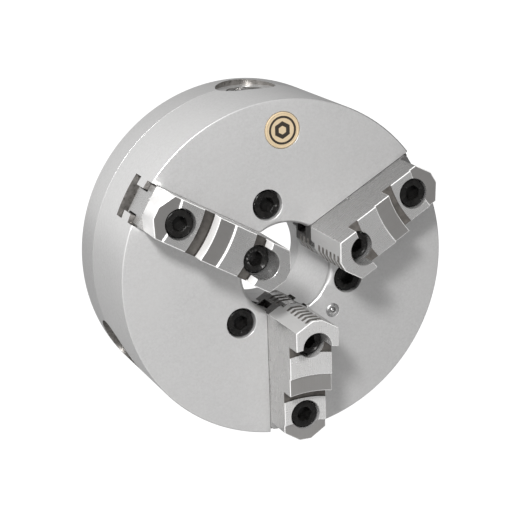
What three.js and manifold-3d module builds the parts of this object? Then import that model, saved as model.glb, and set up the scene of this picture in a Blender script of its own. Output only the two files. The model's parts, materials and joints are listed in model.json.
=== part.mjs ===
// Three-jaw self-centring scroll chuck, 200 mm, with two-piece reversible jaws.
//
// Frame of the finished part, in millimetres: +Z is up, the chuck's axis lies along Y, the origin is
// the centre of the back mounting face and the jaws point towards -Y.
// Every piece is built in the chuck frame, whose +Z runs from the back face out of the front face
// ("depth"), with X and Y across the face. One group turns that frame into the finished one.
// Pieces that belong to a jaw or a pinion are built in a spoke frame: +X runs outwards from the
// chuck's axis, +Y runs across the spoke and +Z is still the depth.
import * as THREE from 'three';
import { mergeVertices } from 'three/addons/utils/BufferGeometryUtils.js';
import Module from 'manifold-3d';

const wasm = await Module();
wasm.setup();

// ---------------------------------------------------------------- sizes (mm)
// General fits
const REST_GAP = 0.3; // between faces that touch on the real chuck
const RUN_GAP = 0.4; // around pieces that slide or turn
const SCREW_GAP = 0.3; // around a screw's shank in its hole
const CUT_OVERRUN = 2; // how far a cutter runs past the face it opens
const SIDE_OVERRUN = 1; // how far a jaw's cutters run past its sides
const OVERLAP = 1; // how far joined solids reach into each other

// Body and back plate
const BODY_DIAMETER = 200;
const BODY_DEPTH = 78.6; // back mounting face to front face
const BACK_PLATE_THICKNESS = 23.3; // back mounting face to the seam on the rim
const RIM_CHAMFER = 1;
const SEAM_CHAMFER = 0.5;
const BORE_DIAMETER = 55;
const BORE_CHAMFER = 2;
const RIM_WALL = 13.8; // rim thickness around the scroll
const FRONT_WEB = 20.2; // thickness between the scroll and the front face
const HUB_DIAMETER = 98; // the scroll turns on this
const HUB_JOINT_STAND = 1.24; // the hubs of body and back plate meet this far in front of the boss
const HUB_JOINT_STEP = 0.5; // the back plate's hub is this much smaller in radius
const REGISTER_DIAMETER = 106.375; // short taper seat for the spindle nose, at the back face
const REGISTER_DEPTH = 18.9;
const REGISTER_HALF_ANGLE = 7.125; // degrees

// Scroll plate
const SCROLL_PITCH = 10;
const THREAD_WIDTH = 4.6;
const THREAD_HEIGHT = 5.5;
const THREAD_FLANK_GAP = 0.35; // each side, between the thread and the jaws' teeth
const THREAD_INNER_MARGIN = 0.6; // bare ring left inside the first turn
const THREAD_OUTER_MARGIN = 0.4; // bare ring left outside the last turn
const SCROLL_FLANGE_THICKNESS = 10.4; // ring behind the thread, outside the gear
const SCROLL_BACK_CLEARANCE = 0.3; // scroll's back face to the back plate's boss

// Bevel gears
const GEAR_TEETH = 63;
const PINION_TEETH = 9;
const PRESSURE_ANGLE = 25; // degrees
const GEAR_ADDENDUM = 0.75; // in modules
const PINION_ADDENDUM = 0.9;
const TOOTH_ROOT_CLEARANCE = 0.15;
const BACKLASH = 0.5; // at the outer end of the teeth
const GEAR_RIM_MARGIN = 2.7; // from the end of the gear's teeth to the rim wall
const GEAR_FACE_WIDTH = 18.3;
const PINION_INNER_SETBACK = 1.3; // the pinion's teeth start this much further out than the gear's
const PINION_OUTER_OVERHANG = 0.5; // and end this much further out

// Pinions
const PINION_JOURNAL_DIAMETER = 22;
const PINION_PILOT_DIAMETER = 10;
const PINION_PILOT_LENGTH = 8;
const PINION_SOCKET = 11; // across the flats of the square
const PINION_SOCKET_DEPTH = 14;
const SPOT_FACE_DIAMETER = 36;
const SPOT_FACE_DEPTH = 3.4; // below the top of the rim
const BOSS_MARGIN = 1.2; // from the boss that holds the pinion pilots to the gear's teeth

// Jaw slots in the body
const SLOT_WIDTH = 26;
const RIB_WIDTH = 5; // each side of the slot
const RIB_BACK_DEPTH = 17.6; // back face of the rib, below the front face
const RIB_FRONT_DEPTH = 6.8; // front face of the rib, below the front face

// Base jaws
const BASE_JAW_TIP = 19.6; // from the chuck's axis, at rest
const BASE_JAW_LENGTH = 76.9;
const BASE_JAW_END_CHAMFER = 1;
const GROOVE_SIDE_GAP = 1; // between the body's ribs and the bottoms of the jaw's side grooves
const TIP_WIDTH = 6; // flat at the gripping end, both jaws
const TIP_TAPER_LENGTH = 5.9; // from the tip to the full width
const JAW_TOOTH_INNER_RADIUS = 120; // curve of the tooth flank that faces the axis
const JAW_TOOTH_OUTER_RADIUS = 42; // curve of the flank that faces the rim
const TOOTH_TIP_GAP = 0.5; // jaw tooth to scroll face, and thread to tooth root
const PARTING_HEIGHT = 2; // base jaw to top jaw joint, above the front face
const KEY_WIDTH = 8; // long key on the base jaw
const KEY_HEIGHT = 2.8;
const CROSS_KEY_WIDTH = 12.7; // cross key under the top jaw
const CROSS_KEY_HEIGHT = 3.2;
const CROSS_KEY_RADIUS = 58.9; // centre of the cross key, at rest

// Top jaws
const TOP_JAW_OVERHANG = 0.3; // each side, beyond the base jaw
const TOP_JAW_TIP = 19.2;
const TOP_JAW_LENGTH = 78.8;
const OUTER_END_WIDTH = 7.2;
const OUTER_TAPER_LENGTH = 6;
const STEP_HEIGHT = 10;
const OUTER_STEP_HEIGHT = 22.8; // above the front face
const INNER_RISER_RADIUS = 35; // middle of the curved risers, from the chuck's axis
const OUTER_RISER_RADIUS = 65.2;
const INNER_PAD_RADIUS = 54.8; // small risers that edge the seating pads
const OUTER_PAD_RADIUS = 86.2;
const PAD_DROP = 1.2;
const RELIEF_WIDTH = 6.4; // groove at the foot of each riser
const RELIEF_DEPTH = 0.8;
const RISER_CURVE = 65; // radius of the risers, hollow towards the rim
const NOSE_RELIEF_HEIGHT = 4.8; // clearance at the foot of the gripping end
const NOSE_RELIEF_DEPTH = 2;
const SERRATION_PITCH = 5.2;
const SERRATION_COUNT = 6;
const SERRATION_WIDTH = 2.2;
const SERRATION_DEPTH = 1.2;
const SERRATION_TOP_MARGIN = 3.4; // jaw's top to the middle of the first groove
const BASE_SERRATION_COUNT = 3;
const BASE_SERRATION_TOP_MARGIN = 5.3;

// Screws: nominal diameter, head diameter, head height, socket across flats, socket depth
const M10 = { shank: 10, head: 16, headHeight: 10, socket: 8, socketDepth: 5.5 };
const M6 = { shank: 6, head: 10, headHeight: 6, socket: 5, socketDepth: 3.2 };
const JAW_HEAD_GAP = 0.7; // around the heads of the jaw screws
const JAW_SCREW_INNER_RADIUS = 35.3;
const JAW_SCREW_OUTER_RADIUS = 82.4;
const INNER_SCREW_SINK = 14; // head below the jaw's highest face
const OUTER_SCREW_SINK = 1.8; // head below the outer step
const INNER_SCREW_LENGTH = 30;
const OUTER_SCREW_LENGTH = 25;
const MOUNT_CIRCLE_DIAMETER = 81.6;
const MOUNT_CIRCLE_START = 104.8; // degrees
const MOUNT_HEAD_GAP = 1;
const MOUNT_SCREW_SINK = 1.4;
const MOUNT_SCREW_END = 5.2; // the screw's end, from the back mounting face
const COVER_EDGE_DISTANCE = 7.5; // from the rim to the circle of cover screws and dowels
const COVER_SCREW_COUNT = 6;
const COVER_HEAD_GAP = 0.5;
const COVER_SCREW_SINK = 1;
const COVER_SCREW_LENGTH = 30;
const HOLE_CHAMFER = 0.5;

// Dowels between body and back plate
const DOWEL_DIAMETER = 6;
const DOWEL_LENGTH = 24;
const DOWEL_ANGLES = [45, 225];

// Trim on the front face
const BADGE_DIAMETER = 21;
const BADGE_THICKNESS = 1.2;
const BADGE_STAND = 0.3; // above the front face
const BADGE_EDGE_DISTANCE = 18; // from the rim to the badge's centre
const BADGE_ANGLE = 90;
const OILER_DIAMETER = 7.6;
const OILER_LENGTH = 8;
const OILER_STAND = 0.2;
const OILER_MOUTH = 3.8;
const OILER_BALL_DIAMETER = 3;
const OILER_RADIUS = 41.3;
const OILER_ANGLE = -45.4;

// Facets
const BIG_SEGMENTS = 60;
const HOLE_SEGMENTS = 16;
const SMALL_SEGMENTS = 12;
const SPIRAL_STEPS_PER_TURN = 48;
const ARC_STEPS = 3;

// ---------------------------------------------------------------- derived sizes
const OUTER_RADIUS = BODY_DIAMETER / 2;
const BORE_RADIUS = BORE_DIAMETER / 2;
const HUB_RADIUS = HUB_DIAMETER / 2;
const SEAM_DEPTH = BACK_PLATE_THICKNESS;
const CAVITY_RADIUS = OUTER_RADIUS - RIM_WALL;
const CAVITY_FRONT = BODY_DEPTH - FRONT_WEB;
const BADGE_RADIUS = OUTER_RADIUS - BADGE_EDGE_DISTANCE;
const REGISTER_RADIUS = REGISTER_DIAMETER / 2;
const REGISTER_SLOPE = Math.tan(THREE.MathUtils.degToRad(REGISTER_HALF_ANGLE));
const REGISTER_FLOOR_RADIUS = REGISTER_RADIUS - REGISTER_DEPTH * REGISTER_SLOPE;

const SCROLL_INNER_RADIUS = HUB_RADIUS + RUN_GAP;
const SCROLL_OUTER_RADIUS = CAVITY_RADIUS - RUN_GAP;
const THREAD_CREST = CAVITY_FRONT - TOOTH_TIP_GAP;
const THREAD_ROOT = THREAD_CREST - THREAD_HEIGHT;

// The bevel gears' common apex is on the chuck's axis, at the pinions' depth.
const PINION_DEPTH = SEAM_DEPTH;
const GEAR_OUTER_RADIUS = CAVITY_RADIUS - GEAR_RIM_MARGIN;
const GEAR_INNER_RADIUS = GEAR_OUTER_RADIUS - GEAR_FACE_WIDTH;
const PINION_GEAR_INNER = GEAR_INNER_RADIUS + PINION_INNER_SETBACK;
const PINION_GEAR_OUTER = GEAR_OUTER_RADIUS + PINION_OUTER_OVERHANG;
const BOSS_RADIUS = GEAR_INNER_RADIUS - BOSS_MARGIN;
const MODULE_PER_RADIUS = 2 / GEAR_TEETH;
const PITCH_SLOPE = PINION_TEETH / GEAR_TEETH;
const GEAR_TIP_SLOPE = PITCH_SLOPE - GEAR_ADDENDUM * MODULE_PER_RADIUS;
const GEAR_ROOT_SLOPE = PITCH_SLOPE + (PINION_ADDENDUM + TOOTH_ROOT_CLEARANCE) * MODULE_PER_RADIUS;
const SCROLL_BACK = PINION_DEPTH + GEAR_INNER_RADIUS * GEAR_TIP_SLOPE;
const SCROLL_FLANGE_BACK = THREAD_ROOT - SCROLL_FLANGE_THICKNESS;
const BOSS_DEPTH = SCROLL_BACK - SCROLL_BACK_CLEARANCE;
const HUB_JOINT_DEPTH = BOSS_DEPTH + HUB_JOINT_STAND;

const SPOT_FACE_RADIUS = OUTER_RADIUS - SPOT_FACE_DEPTH;
const PINION_HEAD_RADIUS = PINION_GEAR_OUTER * (PITCH_SLOPE + PINION_ADDENDUM * MODULE_PER_RADIUS);

const RIB_BACK = BODY_DEPTH - RIB_BACK_DEPTH;
const RIB_FRONT = BODY_DEPTH - RIB_FRONT_DEPTH;
const SLOT_FLOOR = THREAD_ROOT - REST_GAP;
const JAW_BACK = THREAD_ROOT + TOOTH_TIP_GAP;
const JAW_TOOTH_ROOT = THREAD_CREST + TOOTH_TIP_GAP;
const JAW_TOOTH_THICKNESS = SCROLL_PITCH - THREAD_WIDTH - 2 * THREAD_FLANK_GAP;
const BASE_JAW_WIDTH = SLOT_WIDTH - 2 * REST_GAP;
const TOP_JAW_WIDTH = BASE_JAW_WIDTH + 2 * TOP_JAW_OVERHANG;
const BASE_JAW_WAIST = SLOT_WIDTH - 2 * (RIB_WIDTH + GROOVE_SIDE_GAP);
const BASE_JAW_TOP = BODY_DEPTH + PARTING_HEIGHT - REST_GAP / 2;
const BASE_JAW_END = BASE_JAW_TIP + BASE_JAW_LENGTH;
const TOP_JAW_BOTTOM = BODY_DEPTH + PARTING_HEIGHT + REST_GAP / 2;
const TOP_JAW_END = TOP_JAW_TIP + TOP_JAW_LENGTH;
const OUTER_STEP_TOP = BODY_DEPTH + OUTER_STEP_HEIGHT;
const MIDDLE_STEP_TOP = OUTER_STEP_TOP + STEP_HEIGHT;
const INNER_STEP_TOP = MIDDLE_STEP_TOP + STEP_HEIGHT;

const MOUNT_RADIUS = MOUNT_CIRCLE_DIAMETER / 2;
const MOUNT_HEAD_TOP = BODY_DEPTH - MOUNT_SCREW_SINK;
const INNER_HEAD_TOP = INNER_STEP_TOP - INNER_SCREW_SINK;
const OUTER_HEAD_TOP = OUTER_STEP_TOP - OUTER_SCREW_SINK;
const MOUNT_SCREW_LENGTH = MOUNT_HEAD_TOP - M10.headHeight - MOUNT_SCREW_END;
const COVER_RADIUS = OUTER_RADIUS - COVER_EDGE_DISTANCE;

const JAW_ANGLES = [-90, 30, 150];
const PINION_ANGLES = [90, 210, 330];

// ---------------------------------------------------------------- materials
function steel(color, roughness, metalness = 0.9) {
  return new THREE.MeshStandardMaterial({ color, roughness, metalness });
}

const groundSteel = steel(0xc9c9c6, 0.42);
const turnedSteel = steel(0xb9bab8, 0.4);
const hardenedSteel = steel(0x9b9894, 0.38);
const jawSteel = steel(0xa9a6a2, 0.35);
const blackOxide = steel(0x1d1c1c, 0.45, 0.6);
const badgeEnamel = steel(0xdccdae, 0.5, 0.2);
const zincPlate = steel(0xc4c6c8, 0.3);

// ---------------------------------------------------------------- solids
// A closed geometry becomes a manifold solid; a solid becomes a geometry again.
function solid(geometry) {
  const bare = geometry.clone();
  bare.deleteAttribute('normal');
  bare.deleteAttribute('uv');
  const merged = mergeVertices(bare, 1e-4);
  const mesh = new wasm.Mesh({
    numProp: 3,
    vertProperties: new Float32Array(merged.attributes.position.array),
    triVerts: new Uint32Array(merged.index.array),
  });
  return new wasm.Manifold(mesh);
}

function geometryOf(manifold) {
  const mesh = manifold.getMesh();
  const geometry = new THREE.BufferGeometry();
  geometry.setAttribute('position', new THREE.BufferAttribute(new Float32Array(mesh.vertProperties), 3));
  geometry.setIndex(new THREE.BufferAttribute(new Uint32Array(mesh.triVerts), 1));
  const flat = geometry.toNonIndexed();
  flat.computeVertexNormals();
  return flat;
}

const cut = (blank, ...tools) => tools.flat().reduce((left, tool) => left.subtract(tool), blank);
const join = (first, ...others) => others.flat().reduce((whole, other) => whole.add(other), first);

// A solid turned about the chuck's axis, from [radius, depth] pairs that close on themselves and run
// anticlockwise with the radius to the right and the depth upwards.
function turned(profile, segments) {
  const points = [...profile, profile[0]].map(([radius, depth]) => new THREE.Vector2(radius, depth));
  return solid(new THREE.LatheGeometry(points, segments).rotateX(Math.PI / 2));
}

// A round bar between two depths.
function bar(radius, from, to, segments = HOLE_SEGMENTS) {
  const geometry = new THREE.CylinderGeometry(radius, radius, to - from, segments);
  return solid(geometry.rotateX(Math.PI / 2).translate(0, 0, (from + to) / 2));
}

// A six-sided bar, given its size across the flats.
function hexBar(acrossFlats, from, to) {
  return bar(acrossFlats / Math.sqrt(3), from, to, 6);
}

// A box from two opposite corners.
function block([x0, y0, z0], [x1, y1, z1]) {
  const geometry = new THREE.BoxGeometry(x1 - x0, y1 - y0, z1 - z0);
  return solid(geometry.translate((x0 + x1) / 2, (y0 + y1) / 2, (z0 + z1) / 2));
}

// A flat outline, drawn anticlockwise as [x, y] pairs, carried from one depth to another.
function prism(outline, from, to) {
  const shape = new THREE.Shape(outline.map(([x, y]) => new THREE.Vector2(x, y)));
  const geometry = new THREE.ExtrudeGeometry(shape, { depth: to - from, bevelEnabled: false });
  return solid(geometry.translate(0, 0, from));
}

// A bar along a spoke: a solid built along +Z laid along +X, at the pinions' depth.
const alongSpoke = (manifold) => manifold.rotate([0, 90, 0]).translate([0, 0, PINION_DEPTH]);
const onSpoke = (manifold, degrees) => manifold.rotate([0, 0, degrees]);
const at = (manifold, radius, degrees) => manifold.translate([radius, 0, 0]).rotate([0, 0, degrees]);
const range = (count) => Array.from({ length: count }, (_, index) => index);

// ---------------------------------------------------------------- screws
// A socket-head cap screw with its head's top face at depth 0 and its shank towards the back.
function capScrew(size, length) {
  const head = size.head / 2;
  const shank = size.shank / 2;
  const edge = HOLE_CHAMFER;
  const blank = turned(
    [
      [0, -size.headHeight - length],
      [shank, -size.headHeight - length],
      [shank, -size.headHeight],
      [head, -size.headHeight],
      [head, -edge],
      [head - edge, 0],
      [0, 0],
    ],
    SMALL_SEGMENTS,
  );
  return cut(blank, hexBar(size.socket, -size.socketDepth, CUT_OVERRUN));
}

// The hole for that screw: counterbore, seat and shank hole, with the head's top at depth 0.
function capScrewHole(size, headGap, length, mouth) {
  return join(
    bar(size.head / 2 + headGap, -size.headHeight - REST_GAP, mouth, HOLE_SEGMENTS),
    bar(size.shank / 2 + SCREW_GAP, -size.headHeight - length - CUT_OVERRUN, CUT_OVERRUN, SMALL_SEGMENTS),
  );
}

// ---------------------------------------------------------------- tools shared by body and back plate
const mountAngles = range(3).map((index) => MOUNT_CIRCLE_START + 120 * index);
const coverAngles = range(COVER_SCREW_COUNT).map((index) => (360 / COVER_SCREW_COUNT) * index);

const pinionBearing = alongSpoke(
  join(
    bar(PINION_JOURNAL_DIAMETER / 2 + RUN_GAP, PINION_GEAR_OUTER + REST_GAP, OUTER_RADIUS, HOLE_SEGMENTS),
    bar(SPOT_FACE_DIAMETER / 2, SPOT_FACE_RADIUS, OUTER_RADIUS + CUT_OVERRUN, 2 * HOLE_SEGMENTS),
  ),
);
const dowelHole = bar(
  DOWEL_DIAMETER / 2 + SCREW_GAP,
  SEAM_DEPTH - DOWEL_LENGTH / 2 - REST_GAP,
  SEAM_DEPTH + DOWEL_LENGTH / 2 + REST_GAP,
  SMALL_SEGMENTS,
);
const dowelHoles = DOWEL_ANGLES.map((angle) => at(dowelHole, COVER_RADIUS, angle));
// The cover screws run forwards, so their heads' tops face the back.
const fromBack = (manifold) => manifold.rotate([180, 0, 0]).translate([0, 0, COVER_SCREW_SINK]);
const coverHole = fromBack(capScrewHole(M6, COVER_HEAD_GAP, COVER_SCREW_LENGTH, CUT_OVERRUN));
const coverHoles = coverAngles.map((angle) => at(coverHole, COVER_RADIUS, angle));
const mountBore = capScrewHole(M10, MOUNT_HEAD_GAP, BODY_DEPTH, CUT_OVERRUN + MOUNT_SCREW_SINK);
const mountHole = mountBore.translate([0, 0, MOUNT_HEAD_TOP]);
const mountHoles = mountAngles.map((angle) => at(mountHole, MOUNT_RADIUS, angle));

// ---------------------------------------------------------------- chuck body
function jawSlot() {
  const half = SLOT_WIDTH / 2;
  const end = OUTER_RADIUS + CUT_OVERRUN;
  return join(
    block([0, -half, RIB_FRONT], [end, half, BODY_DEPTH + CUT_OVERRUN]),
    block([0, -half + RIB_WIDTH, SLOT_FLOOR], [end, half - RIB_WIDTH, BODY_DEPTH]),
    block([0, -half, SLOT_FLOOR], [end, half, RIB_BACK]),
  );
}

function chuckBody() {
  const back = SEAM_DEPTH + REST_GAP / 2;
  const hubBack = HUB_JOINT_DEPTH + REST_GAP / 2;
  const blank = turned(
    [
      [BORE_RADIUS, hubBack],
      [HUB_RADIUS, hubBack],
      [HUB_RADIUS, CAVITY_FRONT],
      [CAVITY_RADIUS, CAVITY_FRONT],
      [CAVITY_RADIUS, back],
      [OUTER_RADIUS - SEAM_CHAMFER, back],
      [OUTER_RADIUS, back + SEAM_CHAMFER],
      [OUTER_RADIUS, BODY_DEPTH - RIM_CHAMFER],
      [OUTER_RADIUS - RIM_CHAMFER, BODY_DEPTH],
      [BORE_RADIUS + BORE_CHAMFER, BODY_DEPTH],
      [BORE_RADIUS, BODY_DEPTH - BORE_CHAMFER],
    ],
    BIG_SEGMENTS,
  );
  const badgePocket = bar(
    BADGE_DIAMETER / 2 + REST_GAP,
    BODY_DEPTH + BADGE_STAND - BADGE_THICKNESS - REST_GAP,
    BODY_DEPTH + CUT_OVERRUN,
    2 * HOLE_SEGMENTS,
  );
  const oilerHole = bar(
    OILER_DIAMETER / 2 + REST_GAP,
    BODY_DEPTH + OILER_STAND - OILER_LENGTH - REST_GAP,
    BODY_DEPTH + CUT_OVERRUN,
    SMALL_SEGMENTS,
  );
  return cut(
    blank,
    JAW_ANGLES.map((angle) => onSpoke(jawSlot(), angle)),
    PINION_ANGLES.map((angle) => onSpoke(pinionBearing, angle)),
    mountHoles,
    coverHoles,
    dowelHoles,
    at(badgePocket, BADGE_RADIUS, BADGE_ANGLE),
    at(oilerHole, OILER_RADIUS, OILER_ANGLE),
  );
}

// ---------------------------------------------------------------- back plate
function backPlate() {
  const seam = SEAM_DEPTH - REST_GAP / 2;
  const hubTop = HUB_JOINT_DEPTH - REST_GAP / 2;
  const blank = turned(
    [
      [REGISTER_RADIUS, 0],
      [OUTER_RADIUS - RIM_CHAMFER, 0],
      [OUTER_RADIUS, RIM_CHAMFER],
      [OUTER_RADIUS, seam - SEAM_CHAMFER],
      [OUTER_RADIUS - SEAM_CHAMFER, seam],
      [BOSS_RADIUS, seam],
      [BOSS_RADIUS, BOSS_DEPTH],
      [HUB_RADIUS - HUB_JOINT_STEP, BOSS_DEPTH],
      [HUB_RADIUS - HUB_JOINT_STEP, hubTop],
      [BORE_RADIUS, hubTop],
      [BORE_RADIUS, REGISTER_DEPTH + BORE_CHAMFER],
      [BORE_RADIUS + BORE_CHAMFER, REGISTER_DEPTH],
      [REGISTER_FLOOR_RADIUS, REGISTER_DEPTH],
    ],
    BIG_SEGMENTS,
  );
  const pinionPocket = alongSpoke(
    join(
      bar(
        PINION_HEAD_RADIUS + RUN_GAP,
        PINION_GEAR_INNER - REST_GAP,
        PINION_GEAR_OUTER + REST_GAP,
        2 * HOLE_SEGMENTS,
      ),
      bar(
        PINION_PILOT_DIAMETER / 2 + RUN_GAP,
        PINION_GEAR_INNER - PINION_PILOT_LENGTH - REST_GAP,
        PINION_GEAR_INNER,
        SMALL_SEGMENTS,
      ),
    ),
  );
  return cut(
    blank,
    PINION_ANGLES.map((angle) => onSpoke(join(pinionPocket, pinionBearing), angle)),
    mountHoles,
    coverHoles,
    dowelHoles,
  );
}

// ---------------------------------------------------------------- scroll plate
const threadRadius = (degrees, turns) => SCROLL_PITCH * (degrees / 360 + turns);

// The outline of the flat spiral thread: out along its inner flank, back along its outer flank.
function spiralOutline() {
  const half = THREAD_WIDTH / 2;
  const first = SCROLL_INNER_RADIUS + THREAD_INNER_MARGIN + half;
  const last = SCROLL_OUTER_RADIUS - THREAD_OUTER_MARGIN - half;
  const startTurns = Math.ceil((first / SCROLL_PITCH) * SPIRAL_STEPS_PER_TURN);
  const endTurns = Math.floor((last / SCROLL_PITCH) * SPIRAL_STEPS_PER_TURN);
  const count = endTurns - startTurns + 1;
  const steps = range(count).map((index) => (startTurns + index) / SPIRAL_STEPS_PER_TURN);
  const point = (turns, offset) => {
    const radius = threadRadius(0, turns) + offset;
    const angle = turns * 2 * Math.PI;
    return [radius * Math.cos(angle), radius * Math.sin(angle)];
  };
  const inner = steps.map((turns) => point(turns, -half));
  const outer = steps.map((turns) => point(turns, half));
  return [...outer, ...inner.reverse()];
}

// A piece that narrows towards the gears' apex: an outline given at one radius, carried along the
// spoke from one distance to another and scaled with the distance.
function taperedAlongSpoke(outline, outlineRadius, from, to) {
  const shape = new THREE.Shape(outline.map(([x, y]) => new THREE.Vector2(x, y)));
  const geometry = new THREE.ExtrudeGeometry(shape, { depth: to - from, bevelEnabled: false });
  const position = geometry.attributes.position;
  for (let index = 0; index < position.count; index += 1) {
    const distance = from + position.getZ(index);
    const scale = distance / outlineRadius;
    position.setXYZ(index, position.getX(index) * scale, position.getY(index) * scale, distance);
  }
  return alongSpoke(solid(geometry));
}

const GEAR_PITCH = (2 * Math.PI * GEAR_OUTER_RADIUS) / GEAR_TEETH;
const FLANK_SLOPE = Math.tan(THREE.MathUtils.degToRad(PRESSURE_ANGLE));

// The gap between two gear teeth. Laid along the spoke, the outline's -X is the depth and its +Y
// runs across the spoke.
function gearGap() {
  const pitchHeight = GEAR_OUTER_RADIUS * PITCH_SLOPE;
  const rootHeight = GEAR_OUTER_RADIUS * GEAR_ROOT_SLOPE;
  const openHeight = GEAR_OUTER_RADIUS * GEAR_TIP_SLOPE - OVERLAP;
  const halfAt = (height) => GEAR_PITCH / 4 + BACKLASH / 4 + (pitchHeight - height) * FLANK_SLOPE;
  const outline = [
    [-openHeight, -halfAt(openHeight)],
    [-openHeight, halfAt(openHeight)],
    [-rootHeight, halfAt(rootHeight)],
    [-rootHeight, -halfAt(rootHeight)],
  ];
  return taperedAlongSpoke(outline, GEAR_OUTER_RADIUS, GEAR_INNER_RADIUS, GEAR_OUTER_RADIUS + CUT_OVERRUN);
}

function scrollPlate() {
  const tipDepth = (radius) => PINION_DEPTH + radius * GEAR_TIP_SLOPE;
  const ring = turned(
    [
      [SCROLL_INNER_RADIUS, SCROLL_BACK],
      [GEAR_INNER_RADIUS, SCROLL_BACK],
      [GEAR_OUTER_RADIUS, tipDepth(GEAR_OUTER_RADIUS)],
      [GEAR_OUTER_RADIUS, SCROLL_FLANGE_BACK],
      [SCROLL_OUTER_RADIUS, SCROLL_FLANGE_BACK],
      [SCROLL_OUTER_RADIUS, THREAD_ROOT],
      [SCROLL_INNER_RADIUS, THREAD_ROOT],
    ],
    BIG_SEGMENTS,
  );
  const thread = prism(spiralOutline(), THREAD_ROOT - OVERLAP, THREAD_CREST);
  const gap = gearGap();
  // One gap lies on every pinion's spoke.
  const gaps = range(GEAR_TEETH).map((index) => onSpoke(gap, PINION_ANGLES[0] + (360 / GEAR_TEETH) * index));
  return cut(join(ring, thread), gaps);
}

// ---------------------------------------------------------------- pinions
// Involute outline of the pinion's teeth at the outer end of the gear, one tooth towards -X.
function pinionOutline() {
  const pitchRadius = GEAR_OUTER_RADIUS * PITCH_SLOPE;
  const toothModule = GEAR_OUTER_RADIUS * MODULE_PER_RADIUS;
  const pressure = THREE.MathUtils.degToRad(PRESSURE_ANGLE);
  const baseRadius = pitchRadius * Math.cos(pressure);
  const tipRadius = pitchRadius + PINION_ADDENDUM * toothModule;
  const rootRadius = pitchRadius - (GEAR_ADDENDUM + TOOTH_ROOT_CLEARANCE) * toothModule;
  const involute = (angle) => Math.tan(angle) - angle;
  const halfAtPitch = (GEAR_PITCH / 4 - BACKLASH / 4) / pitchRadius;
  const halfAt = (radius) => {
    const angle = Math.acos(Math.min(1, baseRadius / radius));
    return halfAtPitch + involute(pressure) - involute(angle);
  };
  const radii = [baseRadius, pitchRadius, tipRadius];
  const flank = [[rootRadius, halfAt(baseRadius)], ...radii.map((radius) => [radius, halfAt(radius)])];
  return range(PINION_TEETH).flatMap((index) => {
    const middle = Math.PI + (2 * Math.PI * index) / PINION_TEETH;
    const point = ([radius, half], side) => {
      const angle = middle + side * half;
      return [radius * Math.cos(angle), radius * Math.sin(angle)];
    };
    const rising = flank.map((entry) => point(entry, -1));
    const falling = flank.map((entry) => point(entry, 1)).reverse();
    return [...rising, ...falling];
  });
}

// A pinion in its spoke frame.
function pinion() {
  const gear = taperedAlongSpoke(pinionOutline(), GEAR_OUTER_RADIUS, PINION_GEAR_INNER, PINION_GEAR_OUTER);
  const end = SPOT_FACE_RADIUS;
  const journalRadius = PINION_JOURNAL_DIAMETER / 2;
  const shaft = alongSpoke(
    join(
      turned(
        [
          [0, PINION_GEAR_OUTER],
          [journalRadius, PINION_GEAR_OUTER],
          [journalRadius, end - HOLE_CHAMFER],
          [journalRadius - HOLE_CHAMFER, end],
          [0, end],
        ],
        HOLE_SEGMENTS,
      ),
      bar(
        PINION_PILOT_DIAMETER / 2,
        PINION_GEAR_INNER - PINION_PILOT_LENGTH,
        PINION_GEAR_OUTER + HOLE_CHAMFER,
        SMALL_SEGMENTS,
      ),
    ),
  );
  const square = bar(PINION_SOCKET / Math.SQRT2, end - PINION_SOCKET_DEPTH, end + CUT_OVERRUN, 4);
  return cut(join(gear, shaft), alongSpoke(square));
}

// ---------------------------------------------------------------- jaws
// Plan of a jaw: a narrow flat at the gripping end, widening to the full width.
function jawPlan(tip, end, width, endWidth, endTaper) {
  const half = width / 2;
  return [
    [tip, -TIP_WIDTH / 2],
    [tip + TIP_TAPER_LENGTH, -half],
    [end - endTaper, -half],
    [end, -endWidth / 2],
    [end, endWidth / 2],
    [end - endTaper, half],
    [tip + TIP_TAPER_LENGTH, half],
    [tip, TIP_WIDTH / 2],
  ];
}

// Points of an arc across the jaw: middle at `radius` along the spoke, ends shifted by the curve.
function acrossArc(radius, curve, half) {
  return range(2 * ARC_STEPS + 1).map((index) => {
    const y = half * (index / ARC_STEPS - 1);
    const shift = Math.abs(curve) - Math.sqrt(curve * curve - y * y);
    return [radius + Math.sign(curve) * shift, y];
  });
}

// Grooves across the gripping nose, the first one below `top` and the rest further back.
function serrations(tip, top, margin, count) {
  const half = BASE_JAW_WIDTH / 2;
  return range(count).map((index) => {
    const middle = top - margin - SERRATION_PITCH * index;
    return block(
      [tip - CUT_OVERRUN, -half, middle - SERRATION_WIDTH / 2],
      [tip + SERRATION_DEPTH, half, middle + SERRATION_WIDTH / 2],
    );
  });
}

// The gaps between the teeth on the back of the base jaw numbered `index`. Each jaw's teeth are a
// third of a pitch on from the last one's, because the spiral grows by a third between the spokes.
function rackGaps(index) {
  const half = SLOT_WIDTH / 2;
  const offset = JAW_TOOTH_THICKNESS / 2;
  const firstTurn = Math.floor(BASE_JAW_TIP / SCROLL_PITCH) - 1;
  const lastTurn = Math.ceil(BASE_JAW_END / SCROLL_PITCH) + 1;
  return range(lastTurn - firstTurn).map((turn) => {
    const thread = threadRadius(JAW_ANGLES[index], firstTurn + turn);
    const toothBefore = thread - SCROLL_PITCH / 2;
    const toothAfter = thread + SCROLL_PITCH / 2;
    const near = acrossArc(toothBefore + offset, -JAW_TOOTH_OUTER_RADIUS, half);
    const far = acrossArc(toothAfter - offset, -JAW_TOOTH_INNER_RADIUS, half);
    return prism([...far, ...near.reverse()], JAW_BACK - CUT_OVERRUN, JAW_TOOTH_ROOT);
  });
}

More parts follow.
